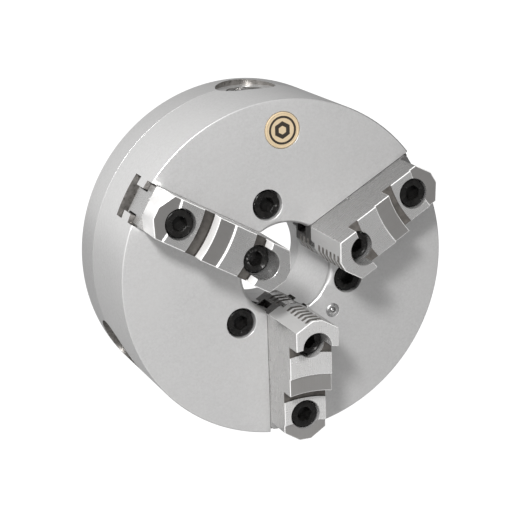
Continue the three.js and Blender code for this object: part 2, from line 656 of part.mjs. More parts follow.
function jawScrewHoles() {
  const inner = capScrewHole(M10, JAW_HEAD_GAP, INNER_SCREW_LENGTH, INNER_SCREW_SINK + CUT_OVERRUN);
  const outer = capScrewHole(M10, JAW_HEAD_GAP, OUTER_SCREW_LENGTH, 2 * STEP_HEIGHT + CUT_OVERRUN);
  return [
    inner.translate([JAW_SCREW_INNER_RADIUS, 0, INNER_HEAD_TOP]),
    outer.translate([JAW_SCREW_OUTER_RADIUS, 0, OUTER_HEAD_TOP]),
  ];
}

function baseJaw(index) {
  const half = BASE_JAW_WIDTH / 2;
  const waist = BASE_JAW_WAIST / 2;
  const start = BASE_JAW_TIP - CUT_OVERRUN;
  const end = BASE_JAW_END + CUT_OVERRUN;
  const plan = jawPlan(
    BASE_JAW_TIP,
    BASE_JAW_END,
    BASE_JAW_WIDTH,
    BASE_JAW_WIDTH - 2 * BASE_JAW_END_CHAMFER,
    BASE_JAW_END_CHAMFER,
  );
  const blank = prism(plan, JAW_BACK, BASE_JAW_TOP + KEY_HEIGHT);
  const keySides = [-1, 1].map((side) => {
    const edges = [(side * KEY_WIDTH) / 2, side * (half + SIDE_OVERRUN)].sort((a, b) => a - b);
    return block([start, edges[0], BASE_JAW_TOP], [end, edges[1], BASE_JAW_TOP + KEY_HEIGHT + CUT_OVERRUN]);
  });
  const guideGrooves = [-1, 1].map((side) => {
    const edges = [side * waist, side * (half + SIDE_OVERRUN)].sort((a, b) => a - b);
    return block([start, edges[0], RIB_BACK - RUN_GAP], [end, edges[1], RIB_FRONT + RUN_GAP]);
  });
  const crossHalf = CROSS_KEY_WIDTH / 2 + REST_GAP;
  const crossFloor = TOP_JAW_BOTTOM - CROSS_KEY_HEIGHT - REST_GAP;
  const crossSlot = block(
    [CROSS_KEY_RADIUS - crossHalf, -half - SIDE_OVERRUN, crossFloor],
    [CROSS_KEY_RADIUS + crossHalf, half + SIDE_OVERRUN, BASE_JAW_TOP + KEY_HEIGHT + CUT_OVERRUN],
  );
  return cut(
    blank,
    keySides,
    guideGrooves,
    crossSlot,
    rackGaps(index),
    jawScrewHoles(),
    serrations(BASE_JAW_TIP, BASE_JAW_TOP, BASE_SERRATION_TOP_MARGIN, BASE_SERRATION_COUNT),
  );
}

// Everything above a level between a curved riser and `outer`, which is well past the jaw's end
// unless it is given.
function stepCutter(riser, level, outer = TOP_JAW_END + RISER_CURVE) {
  const half = TOP_JAW_WIDTH / 2 + SIDE_OVERRUN;
  const inside = acrossArc(riser, RISER_CURVE, half);
  const outside = acrossArc(outer, RISER_CURVE, half);
  return prism([...outside, ...inside.reverse()], level, INNER_STEP_TOP + CUT_OVERRUN);
}

function topJaw() {
  const plan = jawPlan(TOP_JAW_TIP, TOP_JAW_END, TOP_JAW_WIDTH, OUTER_END_WIDTH, OUTER_TAPER_LENGTH);
  const keyHalf = BASE_JAW_WIDTH / 2;
  const blank = prism(plan, TOP_JAW_BOTTOM, INNER_STEP_TOP);
  const crossKey = block(
    [CROSS_KEY_RADIUS - CROSS_KEY_WIDTH / 2, -keyHalf, TOP_JAW_BOTTOM - CROSS_KEY_HEIGHT],
    [CROSS_KEY_RADIUS + CROSS_KEY_WIDTH / 2, keyHalf, TOP_JAW_BOTTOM + OVERLAP],
  );
  const keyWay = block(
    [TOP_JAW_TIP - CUT_OVERRUN, -KEY_WIDTH / 2 - REST_GAP, TOP_JAW_BOTTOM - CUT_OVERRUN],
    [TOP_JAW_END + CUT_OVERRUN, KEY_WIDTH / 2 + REST_GAP, BASE_JAW_TOP + KEY_HEIGHT + REST_GAP],
  );
  const noseHalf = TOP_JAW_WIDTH / 2 + SIDE_OVERRUN;
  const noseRelief = block(
    [TOP_JAW_TIP - CUT_OVERRUN, -noseHalf, TOP_JAW_BOTTOM - CUT_OVERRUN],
    [TOP_JAW_TIP + NOSE_RELIEF_DEPTH, noseHalf, TOP_JAW_BOTTOM + NOSE_RELIEF_HEIGHT],
  );
  const steps = [
    stepCutter(INNER_RISER_RADIUS, MIDDLE_STEP_TOP),
    stepCutter(INNER_RISER_RADIUS, MIDDLE_STEP_TOP - RELIEF_DEPTH, INNER_RISER_RADIUS + RELIEF_WIDTH),
    stepCutter(INNER_PAD_RADIUS, MIDDLE_STEP_TOP - PAD_DROP),
    stepCutter(OUTER_RISER_RADIUS, OUTER_STEP_TOP),
    stepCutter(OUTER_RISER_RADIUS, OUTER_STEP_TOP - RELIEF_DEPTH, OUTER_RISER_RADIUS + RELIEF_WIDTH),
    stepCutter(OUTER_PAD_RADIUS, OUTER_STEP_TOP - PAD_DROP),
  ];
  return cut(
    cut(blank, keyWay, noseRelief),
    steps,
    serrations(TOP_JAW_TIP, INNER_STEP_TOP, SERRATION_TOP_MARGIN, SERRATION_COUNT),
  ).add(crossKey).subtract(join(...jawScrewHoles()));
}

// ---------------------------------------------------------------- trim
function badge() {
  const top = BADGE_STAND;
  const radius = BADGE_DIAMETER / 2;
  return turned(
    [
      [0, top - BADGE_THICKNESS],
      [radius, top - BADGE_THICKNESS],
      [radius, top - BADGE_STAND],
      [radius - BADGE_STAND, top],
      [0, top],
    ],
    2 * HOLE_SEGMENTS,
  );
}

function oilerCup() {
  const radius = OILER_DIAMETER / 2;
  const mouth = OILER_MOUTH / 2;
  return turned(
    [
      [0, OILER_STAND - OILER_LENGTH],
      [radius, OILER_STAND - OILER_LENGTH],
      [radius, 0],
      [radius - OILER_STAND, OILER_STAND],
      [mouth, OILER_STAND],
      [mouth, OILER_STAND - OILER_LENGTH / 2],
      [0, OILER_STAND - OILER_LENGTH / 2],
    ],
    SMALL_SEGMENTS,
  );
}

// ---------------------------------------------------------------- scene graph
const group = new THREE.Group();
group.name = 'lathe_chuck';
const chuck = new THREE.Group();
chuck.rotation.x = Math.PI / 2;
group.add(chuck);

function piece(name, manifold, material, parent = chuck, position = [0, 0, 0]) {
  const mesh = new THREE.Mesh(geometryOf(manifold), material);
  mesh.name = name;
  mesh.position.set(...position);
  parent.add(mesh);
  return mesh;
}

function spoke(degrees) {
  const frame = new THREE.Group();
  frame.rotation.z = THREE.MathUtils.degToRad(degrees);
  chuck.add(frame);
  return frame;
}

piece('chuck_body', chuckBody(), groundSteel);
piece('back_plate', backPlate(), turnedSteel);
piece('scroll_plate', scrollPlate(), hardenedSteel);

PINION_ANGLES.forEach((angle, index) => {
  piece(`pinion_${index + 1}`, pinion(), hardenedSteel, spoke(angle));
});

JAW_ANGLES.forEach((angle, index) => {
  const frame = spoke(angle);
  const number = index + 1;
  piece(`base_jaw_${number}`, baseJaw(index), jawSteel, frame);
  piece(`top_jaw_${number}`, topJaw(), jawSteel, frame);
  const inner = capScrew(M10, INNER_SCREW_LENGTH);
  piece(`jaw_screw_inner_${number}`, inner, blackOxide, frame, [JAW_SCREW_INNER_RADIUS, 0, INNER_HEAD_TOP]);
  const outer = capScrew(M10, OUTER_SCREW_LENGTH);
  piece(`jaw_screw_outer_${number}`, outer, blackOxide, frame, [JAW_SCREW_OUTER_RADIUS, 0, OUTER_HEAD_TOP]);
});

mountAngles.forEach((angle, index) => {
  const screw = capScrew(M10, MOUNT_SCREW_LENGTH);
  piece(`mounting_screw_${index + 1}`, screw, blackOxide, spoke(angle), [MOUNT_RADIUS, 0, MOUNT_HEAD_TOP]);
});

coverAngles.forEach((angle, index) => {
  const screw = fromBack(capScrew(M6, COVER_SCREW_LENGTH));
  piece(`cover_screw_${index + 1}`, screw, blackOxide, spoke(angle), [COVER_RADIUS, 0, 0]);
});

DOWEL_ANGLES.forEach((angle, index) => {
  const pin = bar(DOWEL_DIAMETER / 2, -DOWEL_LENGTH / 2, DOWEL_LENGTH / 2, SMALL_SEGMENTS);
  piece(`dowel_pin_${index + 1}`, pin, hardenedSteel, spoke(angle), [COVER_RADIUS, 0, SEAM_DEPTH]);
});

piece('badge', badge(), badgeEnamel, spoke(BADGE_ANGLE), [BADGE_RADIUS, 0, BODY_DEPTH]);

const oilerFrame = spoke(OILER_ANGLE);
piece('oiler_cup', oilerCup(), zincPlate, oilerFrame, [OILER_RADIUS, 0, BODY_DEPTH]);
const ball = solid(new THREE.SphereGeometry(OILER_BALL_DIAMETER / 2, SMALL_SEGMENTS, SMALL_SEGMENTS / 2));
const ballDepth = BODY_DEPTH + OILER_STAND - OILER_LENGTH / 2 + OILER_BALL_DIAMETER / 2 + REST_GAP;
piece('oiler_ball', ball, zincPlate, oilerFrame, [OILER_RADIUS, 0, ballDepth]);

export default group;
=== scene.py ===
# %% [markdown]
# This lesson dresses a packed three-jaw lathe chuck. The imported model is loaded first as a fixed
# frame, with every piece at its true place. Each cell below makes one piece or one finish.

# %% Load the frame
import json
import math

import bpy
from mathutils import Matrix, Vector

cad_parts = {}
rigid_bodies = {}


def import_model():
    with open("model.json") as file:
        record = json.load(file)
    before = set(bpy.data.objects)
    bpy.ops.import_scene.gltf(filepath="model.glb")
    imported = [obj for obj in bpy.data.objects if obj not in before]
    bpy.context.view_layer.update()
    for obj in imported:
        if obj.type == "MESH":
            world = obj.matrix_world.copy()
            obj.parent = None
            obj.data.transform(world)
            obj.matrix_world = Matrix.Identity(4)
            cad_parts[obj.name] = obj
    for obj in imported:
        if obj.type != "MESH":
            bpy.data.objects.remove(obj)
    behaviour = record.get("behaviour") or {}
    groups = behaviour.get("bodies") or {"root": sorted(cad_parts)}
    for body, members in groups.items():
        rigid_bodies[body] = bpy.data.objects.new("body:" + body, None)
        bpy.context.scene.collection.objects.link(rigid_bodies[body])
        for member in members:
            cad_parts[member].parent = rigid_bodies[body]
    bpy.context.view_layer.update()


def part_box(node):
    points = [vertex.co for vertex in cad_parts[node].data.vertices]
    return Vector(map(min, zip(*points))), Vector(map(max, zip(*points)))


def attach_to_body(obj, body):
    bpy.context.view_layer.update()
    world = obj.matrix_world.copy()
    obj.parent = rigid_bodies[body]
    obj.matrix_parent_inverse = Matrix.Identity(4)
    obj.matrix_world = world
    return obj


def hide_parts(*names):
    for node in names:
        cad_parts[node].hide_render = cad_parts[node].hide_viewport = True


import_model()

# %% [markdown]
# A drawing gives sizes in millimetres: a distance out from the axis along a spoke, a distance
# across the spoke and a depth from the back. The helper turns them into Blender's metres: the
# depth runs along -Y, and the spoke at angle 0 lies along +X with its across value along +Z.

# %% Places on the chuck
MM = 0.001
JAW_ANGLES = (-90, 30, 150)
PINION_ANGLES = (90, 210, 330)


def place(out, across, depth):
    """A point on the spoke at angle 0, from sizes in mm."""
    return Vector((out * MM, -depth * MM, across * MM))


def polar(radius, turn):
    """The point at a radius and at an angle in radians."""
    return radius * math.cos(turn), radius * math.sin(turn)


def swing(piece, degrees):
    """Turns a piece made on the spoke at angle 0 to its own spoke."""
    only(piece)
    piece.rotation_euler[1] = -math.radians(degrees)
    bpy.ops.object.transform_apply()
    return piece


def only(piece):
    """Selects one piece and nothing else."""
    bpy.ops.object.select_all(action="DESELECT")
    piece.select_set(True)
    bpy.context.view_layer.objects.active = piece


BODY_DEPTH = -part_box("chuck_body")[0][1] / MM
OUTER_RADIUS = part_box("chuck_body")[1][0] / MM
SEAM_DEPTH = 23.3
print(f"body: radius {OUTER_RADIUS:.2f} mm, depth {BODY_DEPTH:.2f} mm")

# %% [markdown]
# Most of this object is turned or milled, so two ways of making a solid do nearly all the work. A
# turned piece starts as one point, extruded along half its section and spun round an axis. A
# milled piece starts as a closed outline, filled and extruded straight. The first point is a small
# plane whose corners are merged.

# %% Outlines, turned pieces and milled pieces
WELD = 0.002 * MM


def outline(name, points):
    """One point extruded along a path; leaves the piece in edit mode with all selected."""
    bpy.ops.object.select_all(action="DESELECT")
    bpy.ops.mesh.primitive_plane_add(size=MM, location=(0, 0, 0))
    bpy.context.active_object.name = name
    bpy.ops.object.mode_set(mode="EDIT")
    bpy.ops.mesh.select_all(action="SELECT")
    bpy.ops.mesh.merge(type="CENTER")
    bpy.ops.transform.translate(value=points[0])
    for here, there in zip(points, points[1:]):
        bpy.ops.mesh.extrude_region_move(TRANSFORM_OT_translate={"value": there - here})
    bpy.ops.mesh.select_all(action="SELECT")


def close_up():
    """Welds doubles, turns the faces outwards, leaves edit mode and hands over the piece."""
    bpy.ops.mesh.select_all(action="SELECT")
    bpy.ops.mesh.remove_doubles(threshold=WELD)
    bpy.ops.mesh.normals_make_consistent(inside=False)
    bpy.ops.object.mode_set(mode="OBJECT")
    return bpy.context.active_object


def turned(name, section, steps=64, centre=(0, 0)):
    """Spins a section of (radius, depth) pairs about an axis that runs with the depth.

    The axis passes `centre`, a distance out along the spoke and a distance across it.
    """
    out, across = centre
    points = [place(out + radius, across, depth) for radius, depth in section]
    if section[0][0] > 0:
        points.append(points[0])
    outline(name, points)
    bpy.ops.mesh.spin(steps=steps, angle=2 * math.pi, center=place(out, across, 0), axis=(0, 1, 0))
    return close_up()


def pushed(name, points, *move):
    """Closes and fills an outline and extrudes it by a move; leaves the piece in edit mode."""
    outline(name, points + [points[0]])
    bpy.ops.mesh.remove_doubles(threshold=WELD)
    bpy.ops.mesh.edge_face_add()
    bpy.ops.mesh.extrude_region_move(TRANSFORM_OT_translate={"value": place(*move)})


def milled(name, corners, top, bottom):
    """Extrudes an outline of (out, across) pairs from one depth to another."""
    points = [place(*corner, bottom) for corner in corners]
    pushed(name, points, 0, 0, top - bottom)
    return close_up()


def planed(name, corners, start, end):
    """Extrudes an outline of (across, depth) pairs along the spoke."""
    pushed(name, [place(start, *corner) for corner in corners], end - start, 0, 0)
    return close_up()


def tapered(name, corners, start, end):
    """Extrudes an outline of (across, height) pairs along the spoke, towards the gears' apex."""
    grow = start / GEAR_REACH
    points = [place(start, across * grow, PINION_DEPTH + up * grow) for across, up in corners]
    pushed(name, points, end - start, 0, 0)
    shrink = (end / start,) * 3
    bpy.ops.transform.resize(value=shrink, center_override=place(end, 0, PINION_DEPTH))
    return close_up()


def block(name, out, across, depth):
    """A milled block between two values each way."""
    corners = [(out[i], across[j]) for i, j in ((0, 0), (1, 0), (1, 1), (0, 1))]
    return milled(name, corners, depth[1], depth[0])


# %% [markdown]
# Holes, slots and steps are cut with tools, as in a real shop: a tool is a solid of the shape to
# be removed, and a Boolean modifier takes it away. A machinist never leaves an edge sharp, and the
# small chamfer is what catches the light, so edges are broken too.

# %% Tools, chamfers and copies
def modified(piece, kind, **settings):
    """Adds one modifier with its settings and applies it."""
    only(piece)
    modifier = piece.modifiers.new(kind, kind)
    for setting, value in settings.items():
        setattr(modifier, setting, value)
    bpy.ops.object.modifier_apply(modifier=modifier.name)
    return piece


def merge(piece, tool, operation):
    modified(piece, "BOOLEAN", operation=operation, solver="MANIFOLD", object=tool)
    bpy.data.objects.remove(tool)


def cut(piece, *tools):
    for tool in tools:
        merge(piece, tool, "DIFFERENCE")
    return piece


def weld(piece, *parts):
    for part in parts:
        merge(piece, part, "UNION")
    return piece


def copied(piece, name):
    """A second piece with a mesh of its own."""
    only(piece)
    bpy.ops.object.duplicate(linked=False)
    twin = bpy.context.active_object
    twin.name = name
    return twin


def on_spokes(tool, angles):
    """The tool copied to each spoke; the first one is used up."""
    twins = [swing(copied(tool, "twin"), angle) for angle in angles]
    bpy.data.objects.remove(tool)
    return twins


def on_each(first, angles, name):
    """A finished copy on each spoke, numbered in the name; the first one is used up."""
    pieces = []
    for number, angle in enumerate(angles, start=1):
        pieces.append(finished(swing(copied(first, name), angle), name.format(number)))
    bpy.data.objects.remove(first)
    return pieces


def broken_edges(piece, width, degrees=35, segments=2):
    """A small rounded chamfer on every edge sharper than the angle."""
    limit = {"limit_method": "ANGLE", "angle_limit": math.radians(degrees)}
    return modified(piece, "BEVEL", width=width * MM, segments=segments, **limit)


def finished(piece, name, degrees=50):
    """Smooth shading where the surface is round, with every broad flat face kept flat."""
    piece.name = name
    only(piece)
    bpy.ops.object.shade_smooth_by_angle(angle=math.radians(degrees))
    modified(piece, "WEIGHTED_NORMAL", keep_sharp=True)
    size = ", ".join(f"{value / MM:.1f}" for value in piece.dimensions)
    print(f"{name}: {len(piece.data.polygons)} faces, {size} mm")
    return piece


# %% [markdown]
# A screw hole is drilled and counterbored. Its tool is turned like the screw itself, a little
# larger, with a flare at the mouth that leaves the chamfer.

# %% Screws and the tools for their holes
GAP = 0.3
FLARE = 0.45
M10 = {"shank": 5.0, "head": 8.0, "height": 10.0, "flats": 8.0, "socket": 5.5}
M6 = {"shank": 3.0, "head": 5.0, "height": 6.0, "flats": 5.0, "socket": 3.2}


def screw_tool(size, counterbore, length, head_top, mouth, centre):
    """The counterbore, its chamfered mouth and the shank hole below, at one place on a spoke."""
    seat = head_top - size["height"] - GAP
    shank = size["shank"] + GAP
    above = 3
    section = [
        (0, seat - length), (shank, seat - length), (shank, seat), (counterbore, seat),
        (counterbore, mouth - FLARE), (counterbore + FLARE, mouth),
        (counterbore + FLARE, mouth + above), (0, mouth + above),
    ]
    return turned("screw_tool", section, centre=centre)


def hexagon(across_flats, turn=0):
    radius = across_flats / math.sqrt(3)
    return [polar(radius, math.radians(60 * index + turn)) for index in range(6)]


def cap_screw(size, length, turn):
    """A socket-head screw on the chuck's axis, its head's top at depth 0."""
    head, shank, height = size["head"], size["shank"], size["height"]
    round_over = 0.9
    under = 0.35
    profile = [(0, -height - length), (shank - 1, -height - length), (shank, -height - length + 1)]
    # the thread runs up from the end of the shank, one groove for each pitch
    pitch = 1.5
    ridge = 0.55
    grooves = int(min(length - 3, 24) / pitch)
    for index in range(grooves):
        start = -height - length + 1 + index * pitch
        profile += [(shank - 0.1, start + pitch * 0.25), (shank - ridge, start + pitch * 0.6)]
        profile += [(shank, start + pitch)]
    profile += [
        (shank, -height), (head - under, -height), (head, -height + under), (head, -round_over),
        (head - 0.25 * round_over, -0.35 * round_over), (head - 0.75 * round_over, 0), (0, 0),
    ]
    screw = turned("cap_screw", profile, steps=48)
    flare = 0.35
    half = size["flats"] / 2
    socket = milled("socket", hexagon(size["flats"], turn), 1, -size["socket"])
    cone = turned(
        "cone",
        [(0, -flare - 0.2), (half - 0.05, -flare - 0.2), (half + 0.55, 0.1), (0, 0.1)],
        steps=48,
    )
    return cut(screw, socket, cone)


def knurled(screw, size):
    """Fine straight grooves round the head, as on a real cap screw."""
    count = 36
    depth = 0.28
    head = size["head"]
    tool = milled(
        "knurl",
        [(head - depth, 0), (head + 0.6, -0.5), (head + 0.6, 0.5)],
        -1.1,
        -size["height"] + 0.6,
    )
    tools = on_spokes(tool, [index * 360 / count for index in range(count)])
    bpy.ops.object.select_all(action="DESELECT")
    for one in tools:
        one.select_set(True)
    bpy.context.view_layer.objects.active = tools[0]
    bpy.ops.object.join()
    return cut(screw, tools[0])


# %% [markdown]
# The chuck body is a thick turned ring. Its outline runs from the bore along the front web, round
# the space for the scroll and down the rim to the seam.

# %% Chuck body blank
BORE_RADIUS = 27.5
HUB_RADIUS = 49
CAVITY_RADIUS = 86.2
CAVITY_FRONT = 58.4
HUB_JOINT = 32
RIM_CHAMFER = 0.9
SEAM_CHAMFER = 0.24
BORE_CHAMFER = 2

seam_front = SEAM_DEPTH + GAP / 2
body = turned(
    "chuck_body_ground",
    [
        (BORE_RADIUS, HUB_JOINT + GAP / 2), (HUB_RADIUS, HUB_JOINT + GAP / 2),
        (HUB_RADIUS, CAVITY_FRONT), (CAVITY_RADIUS, CAVITY_FRONT), (CAVITY_RADIUS, seam_front),
        (OUTER_RADIUS - SEAM_CHAMFER, seam_front), (OUTER_RADIUS, seam_front + SEAM_CHAMFER),
        (OUTER_RADIUS, BODY_DEPTH - RIM_CHAMFER), (OUTER_RADIUS - RIM_CHAMFER, BODY_DEPTH),
        (BORE_RADIUS + BORE_CHAMFER, BODY_DEPTH), (BORE_RADIUS, BODY_DEPTH - BORE_CHAMFER),
    ],
    steps=192,
)

# %% [markdown]
# Each jaw slot is a T in section with a second channel at the front face, so that two ribs hold
# the jaw by the grooves in its sides. The cutter is drawn once and pushed along the spoke.

# %% Jaw slots
SLOT_HALF = 13
RIB = 5
RIB_BACK = BODY_DEPTH - 17.6
RIB_FRONT = BODY_DEPTH - 6.8
SLOT_FLOOR = 52.1
EDGE = 0.15

neck = SLOT_HALF - RIB
right_side = [
    (SLOT_HALF, SLOT_FLOOR), (SLOT_HALF, RIB_BACK), (neck + EDGE, RIB_BACK),
    (neck, RIB_BACK + EDGE), (neck, RIB_FRONT - EDGE), (neck + EDGE, RIB_FRONT),
    (SLOT_HALF, RIB_FRONT), (SLOT_HALF, BODY_DEPTH - EDGE), (SLOT_HALF + EDGE, BODY_DEPTH),
    (SLOT_HALF + EDGE, BODY_DEPTH + 1),
]
left_side = [(-across, depth) for across, depth in reversed(right_side)]
slot_tool = planed("slot_tool", right_side + left_side, 0, OUTER_RADIUS + 2)
cut(body, *on_spokes(slot_tool, JAW_ANGLES))
print(f"slots: {2 * SLOT_HALF} mm wide, ribs {RIB} mm each side")

# %% [markdown]
# Three pinions sit in the rim on the seam between body and back plate. Each has a bearing and a
# wide spot face for the key's shoulder. Those tools are turned about the depth and then laid over.

# %% Pinion bearings and spot faces
PINION_DEPTH = SEAM_DEPTH
SPOT_FACE = 96.6
SPOT_RADIUS = 18
JOURNAL_RADIUS = 11
GEAR_OUTER = 84
GEAR_INNER = 66.5
HEAD_RADIUS = 14.4


def laid_over(piece):
    """Turns a piece made along the depth so that it runs out along the spoke."""
    only(piece)
    piece.rotation_euler[2] = math.pi / 2
    piece.location[1] = -PINION_DEPTH * MM
    bpy.ops.object.transform_apply()
    return piece


def pinion_tool():
    journal = JOURNAL_RADIUS + GAP
    section = [
        (0, GEAR_OUTER + GAP), (journal, GEAR_OUTER + GAP), (journal, SPOT_FACE - EDGE),
        (journal + EDGE, SPOT_FACE), (SPOT_RADIUS, SPOT_FACE), (SPOT_RADIUS, OUTER_RADIUS + 3),
        (0, OUTER_RADIUS + 3),
    ]
    return laid_over(turned("pinion_tool", section, steps=96))


cut(body, *on_spokes(pinion_tool(), PINION_ANGLES))

# %% [markdown]
# The front face takes three counterbored mounting screws, a shallow pocket for the badge and a
# hole for the oiler. The back has six screw holes and two dowel holes for the plate.

# %% Holes in the body
MOUNT_RADIUS = 40.8
MOUNT_ANGLES = (104.8, 224.8, 344.8)
MOUNT_TOP = BODY_DEPTH - 1.4
COVER_RADIUS = 92.5
COVER_ANGLES = tuple(range(0, 360, 60))
DOWEL_ANGLES = (45, 225)
DOWEL_HALF = 12
BADGE_RADIUS = 82
OILER_RADIUS = 41.3
OILER_ANGLE = -45.4


def mount_tools():
    tool = screw_tool(M10, 9, 90, MOUNT_TOP, BODY_DEPTH, (MOUNT_RADIUS, 0))
    return on_spokes(tool, MOUNT_ANGLES)


def cover_tools():
    head, shank, seat, end = 5.5, M6["shank"] + GAP, 7.3, 39
    tool = turned(
        "cover_tool",
        [(0, -3), (head, -3), (head + FLARE, -3), (head + FLARE, 0), (head, FLARE), (head, seat),
         (shank, seat), (shank, end), (0, end)],
        steps=32,
        centre=(COVER_RADIUS, 0),
    )
    return on_spokes(tool, COVER_ANGLES)


def dowel_tools():
    half = DOWEL_HALF + GAP
    back = SEAM_DEPTH - half
    tool = turned(
        "dowel_tool",
        [(0, back), (3.3, back), (3.3, back + 2 * half), (0, back + 2 * half)],
        steps=24,
        centre=(COVER_RADIUS, 0),
    )
    return on_spokes(tool, DOWEL_ANGLES)


def blind_tool(radius, floor, out, angle):
    tool = turned(
        "blind_tool",
        [(0, floor), (radius, floor), (radius, BODY_DEPTH - 0.25), (radius + 0.25, BODY_DEPTH),
         (radius + 0.25, BODY_DEPTH + 2), (0, BODY_DEPTH + 2)],
        centre=(out, 0),
    )
    return swing(tool, angle)


cut(body, *mount_tools(), *cover_tools(), *dowel_tools())
cut(body, blind_tool(10.8, BODY_DEPTH - 1.2, BADGE_RADIUS, 90))
cut(body, blind_tool(4.1, BODY_DEPTH - 8.1, OILER_RADIUS, OILER_ANGLE))
finished(body, "chuck_body_ground")

# %% [markdown]
# The back plate closes the scroll's space from behind. It carries the short taper that seats on
# the spindle nose, a boss that the scroll runs on and a pocket for each pinion.

# %% Back plate
BOSS_RADIUS = 64
BOSS_DEPTH = 30.7
REGISTER_RADIUS = 53.19
REGISTER_DEPTH = 18.9
REGISTER_FLOOR = REGISTER_RADIUS - REGISTER_DEPTH * math.tan(math.radians(7.125))

seam_back = SEAM_DEPTH - GAP / 2
hub_top = HUB_JOINT - GAP / 2
plate = turned(
    "back_plate_turned",
    [
        (REGISTER_RADIUS + 0.8, 0), (OUTER_RADIUS - 1, 0), (OUTER_RADIUS, 1),
        (OUTER_RADIUS, seam_back - SEAM_CHAMFER), (OUTER_RADIUS - SEAM_CHAMFER, seam_back),
        (BOSS_RADIUS, seam_back), (BOSS_RADIUS, BOSS_DEPTH), (HUB_RADIUS - 0.5, BOSS_DEPTH),
        (HUB_RADIUS - 0.5, hub_top), (BORE_RADIUS, hub_top),
        (BORE_RADIUS, REGISTER_DEPTH + BORE_CHAMFER), (BORE_RADIUS + BORE_CHAMFER, REGISTER_DEPTH),
        (REGISTER_FLOOR, REGISTER_DEPTH), (REGISTER_RADIUS, 0.8),
    ],
    steps=192,
)
pocket = turned(
    "pocket",
    [
        (0, GEAR_INNER - 8 - GAP), (5.4, GEAR_INNER - 8 - GAP), (5.4, GEAR_INNER - GAP),
        (HEAD_RADIUS + 0.4, GEAR_INNER - GAP), (HEAD_RADIUS + 0.4, GEAR_OUTER + GAP),
        (0, GEAR_OUTER + GAP),
    ],
)
cut(plate, *on_spokes(laid_over(pocket), PINION_ANGLES), *on_spokes(pinion_tool(), PINION_ANGLES))
cut(plate, *mount_tools(), *cover_tools(), *dowel_tools())
finished(plate, "back_plate_turned")

# %% [markdown]
# A base jaw is the lower, guided half of a jaw, with grooves for the body's ribs and a cross slot
# that locates the top jaw. Its back has teeth for the scroll. They are arcs, and each jaw's set is
# a third of a pitch on from the last one's, so the base jaws are not interchangeable.

# %% Base jaws
SCROLL_PITCH = 10
BASE_TIP = 19.6
BASE_END = 96.5
BASE_HALF = 12.9
WAIST_HALF = 7
TIP_HALF = 3
TAPER = 5.9
JAW_BACK = 52.9
TOOTH_ROOT = 58.4
TOOTH_HALF = 2.35
PARTING = BODY_DEPTH + 2
PARTING_GAP = 0.06
BASE_TOP = PARTING - PARTING_GAP / 2
TOP_BOTTOM = PARTING + PARTING_GAP / 2
PARTING_RELIEFS = ((46, 53.2), (66, 81))
KEY_HALF = 4
KEY_TOP = BASE_TOP + 2.8
CROSS_RADIUS = 58.9
CROSS_HALF = 6.35
INNER_SCREW = 35.3
OUTER_SCREW = 82.4
INNER_HEAD_TOP = BODY_DEPTH + 28.8
OUTER_HEAD_TOP = BODY_DEPTH + 21.0
JAW_COUNTERBORE = 8.7


def arc_across(out, radius, half, count=16):
    """Points of an arc across the jaw whose middle lies at `out`; positive radii open outwards."""
    bend = abs(radius)
    points = []
    for index in range(count + 1):
        across = half * (2 * index / count - 1)
        rise = math.copysign(bend - math.sqrt(bend * bend - across * across), radius)
        points.append((out + rise, across))
    return points


def nose_plan(tip, end, half, end_half, end_taper):
    """The plan of a jaw: a narrow gripping end, full width, and its outer end."""
    side = [(tip, TIP_HALF), (tip + TAPER, half), (end - end_taper, half), (end, end_half)]
    return [(out, -across) for out, across in side] + side[::-1]


def both_sides(name, out, across, depth):
    """Two blocks, one each side of the jaw's middle."""
    right = block(name, out, across, depth)
    left = block(name, out, (-across[1], -across[0]), depth)
    return [right, left]


WHOLE_WIDTH = (-SLOT_HALF - 1, SLOT_HALF + 1)


def grip_grooves(tip, top, margin, count, pitch=5.2, width=2.5, deep=1.7):
    """Trapezoid grooves across the gripping end."""
    tools = []
    for index in range(count):
        middle = top - margin - pitch * index
        mouth = width / 2 + 0.25
        floor = width / 2 - 0.1
        corners = [(tip - 1, middle - mouth - 0.3), (tip + deep, middle - floor)]
        corners += [(tip + deep, middle + floor), (tip - 1, middle + mouth + 0.3)]
        points = [place(out, -SLOT_HALF, depth) for out, depth in corners]
        pushed("groove", points, 0, 2 * SLOT_HALF, 0)
        tools.append(close_up())
    return tools


def jaw_screw_tools(inner_mouth, outer_mouth):
    inner = screw_tool(M10, JAW_COUNTERBORE, 32, INNER_HEAD_TOP, inner_mouth, (INNER_SCREW, 0))
    outer = screw_tool(M10, JAW_COUNTERBORE, 27, OUTER_HEAD_TOP, outer_mouth, (OUTER_SCREW, 0))
    return [inner, outer]


def rack_tools(angle):
    tools = []
    for turn in range(1, 11):
        tooth_before = SCROLL_PITCH * (angle / 360 + turn) - SCROLL_PITCH / 2
        near = arc_across(tooth_before + TOOTH_HALF, -42, 13)
        far = arc_across(tooth_before + SCROLL_PITCH - TOOTH_HALF, -120, 13)
        tools.append(milled("tooth_gap", far + near[::-1], TOOTH_ROOT, JAW_BACK - 2))
    return tools


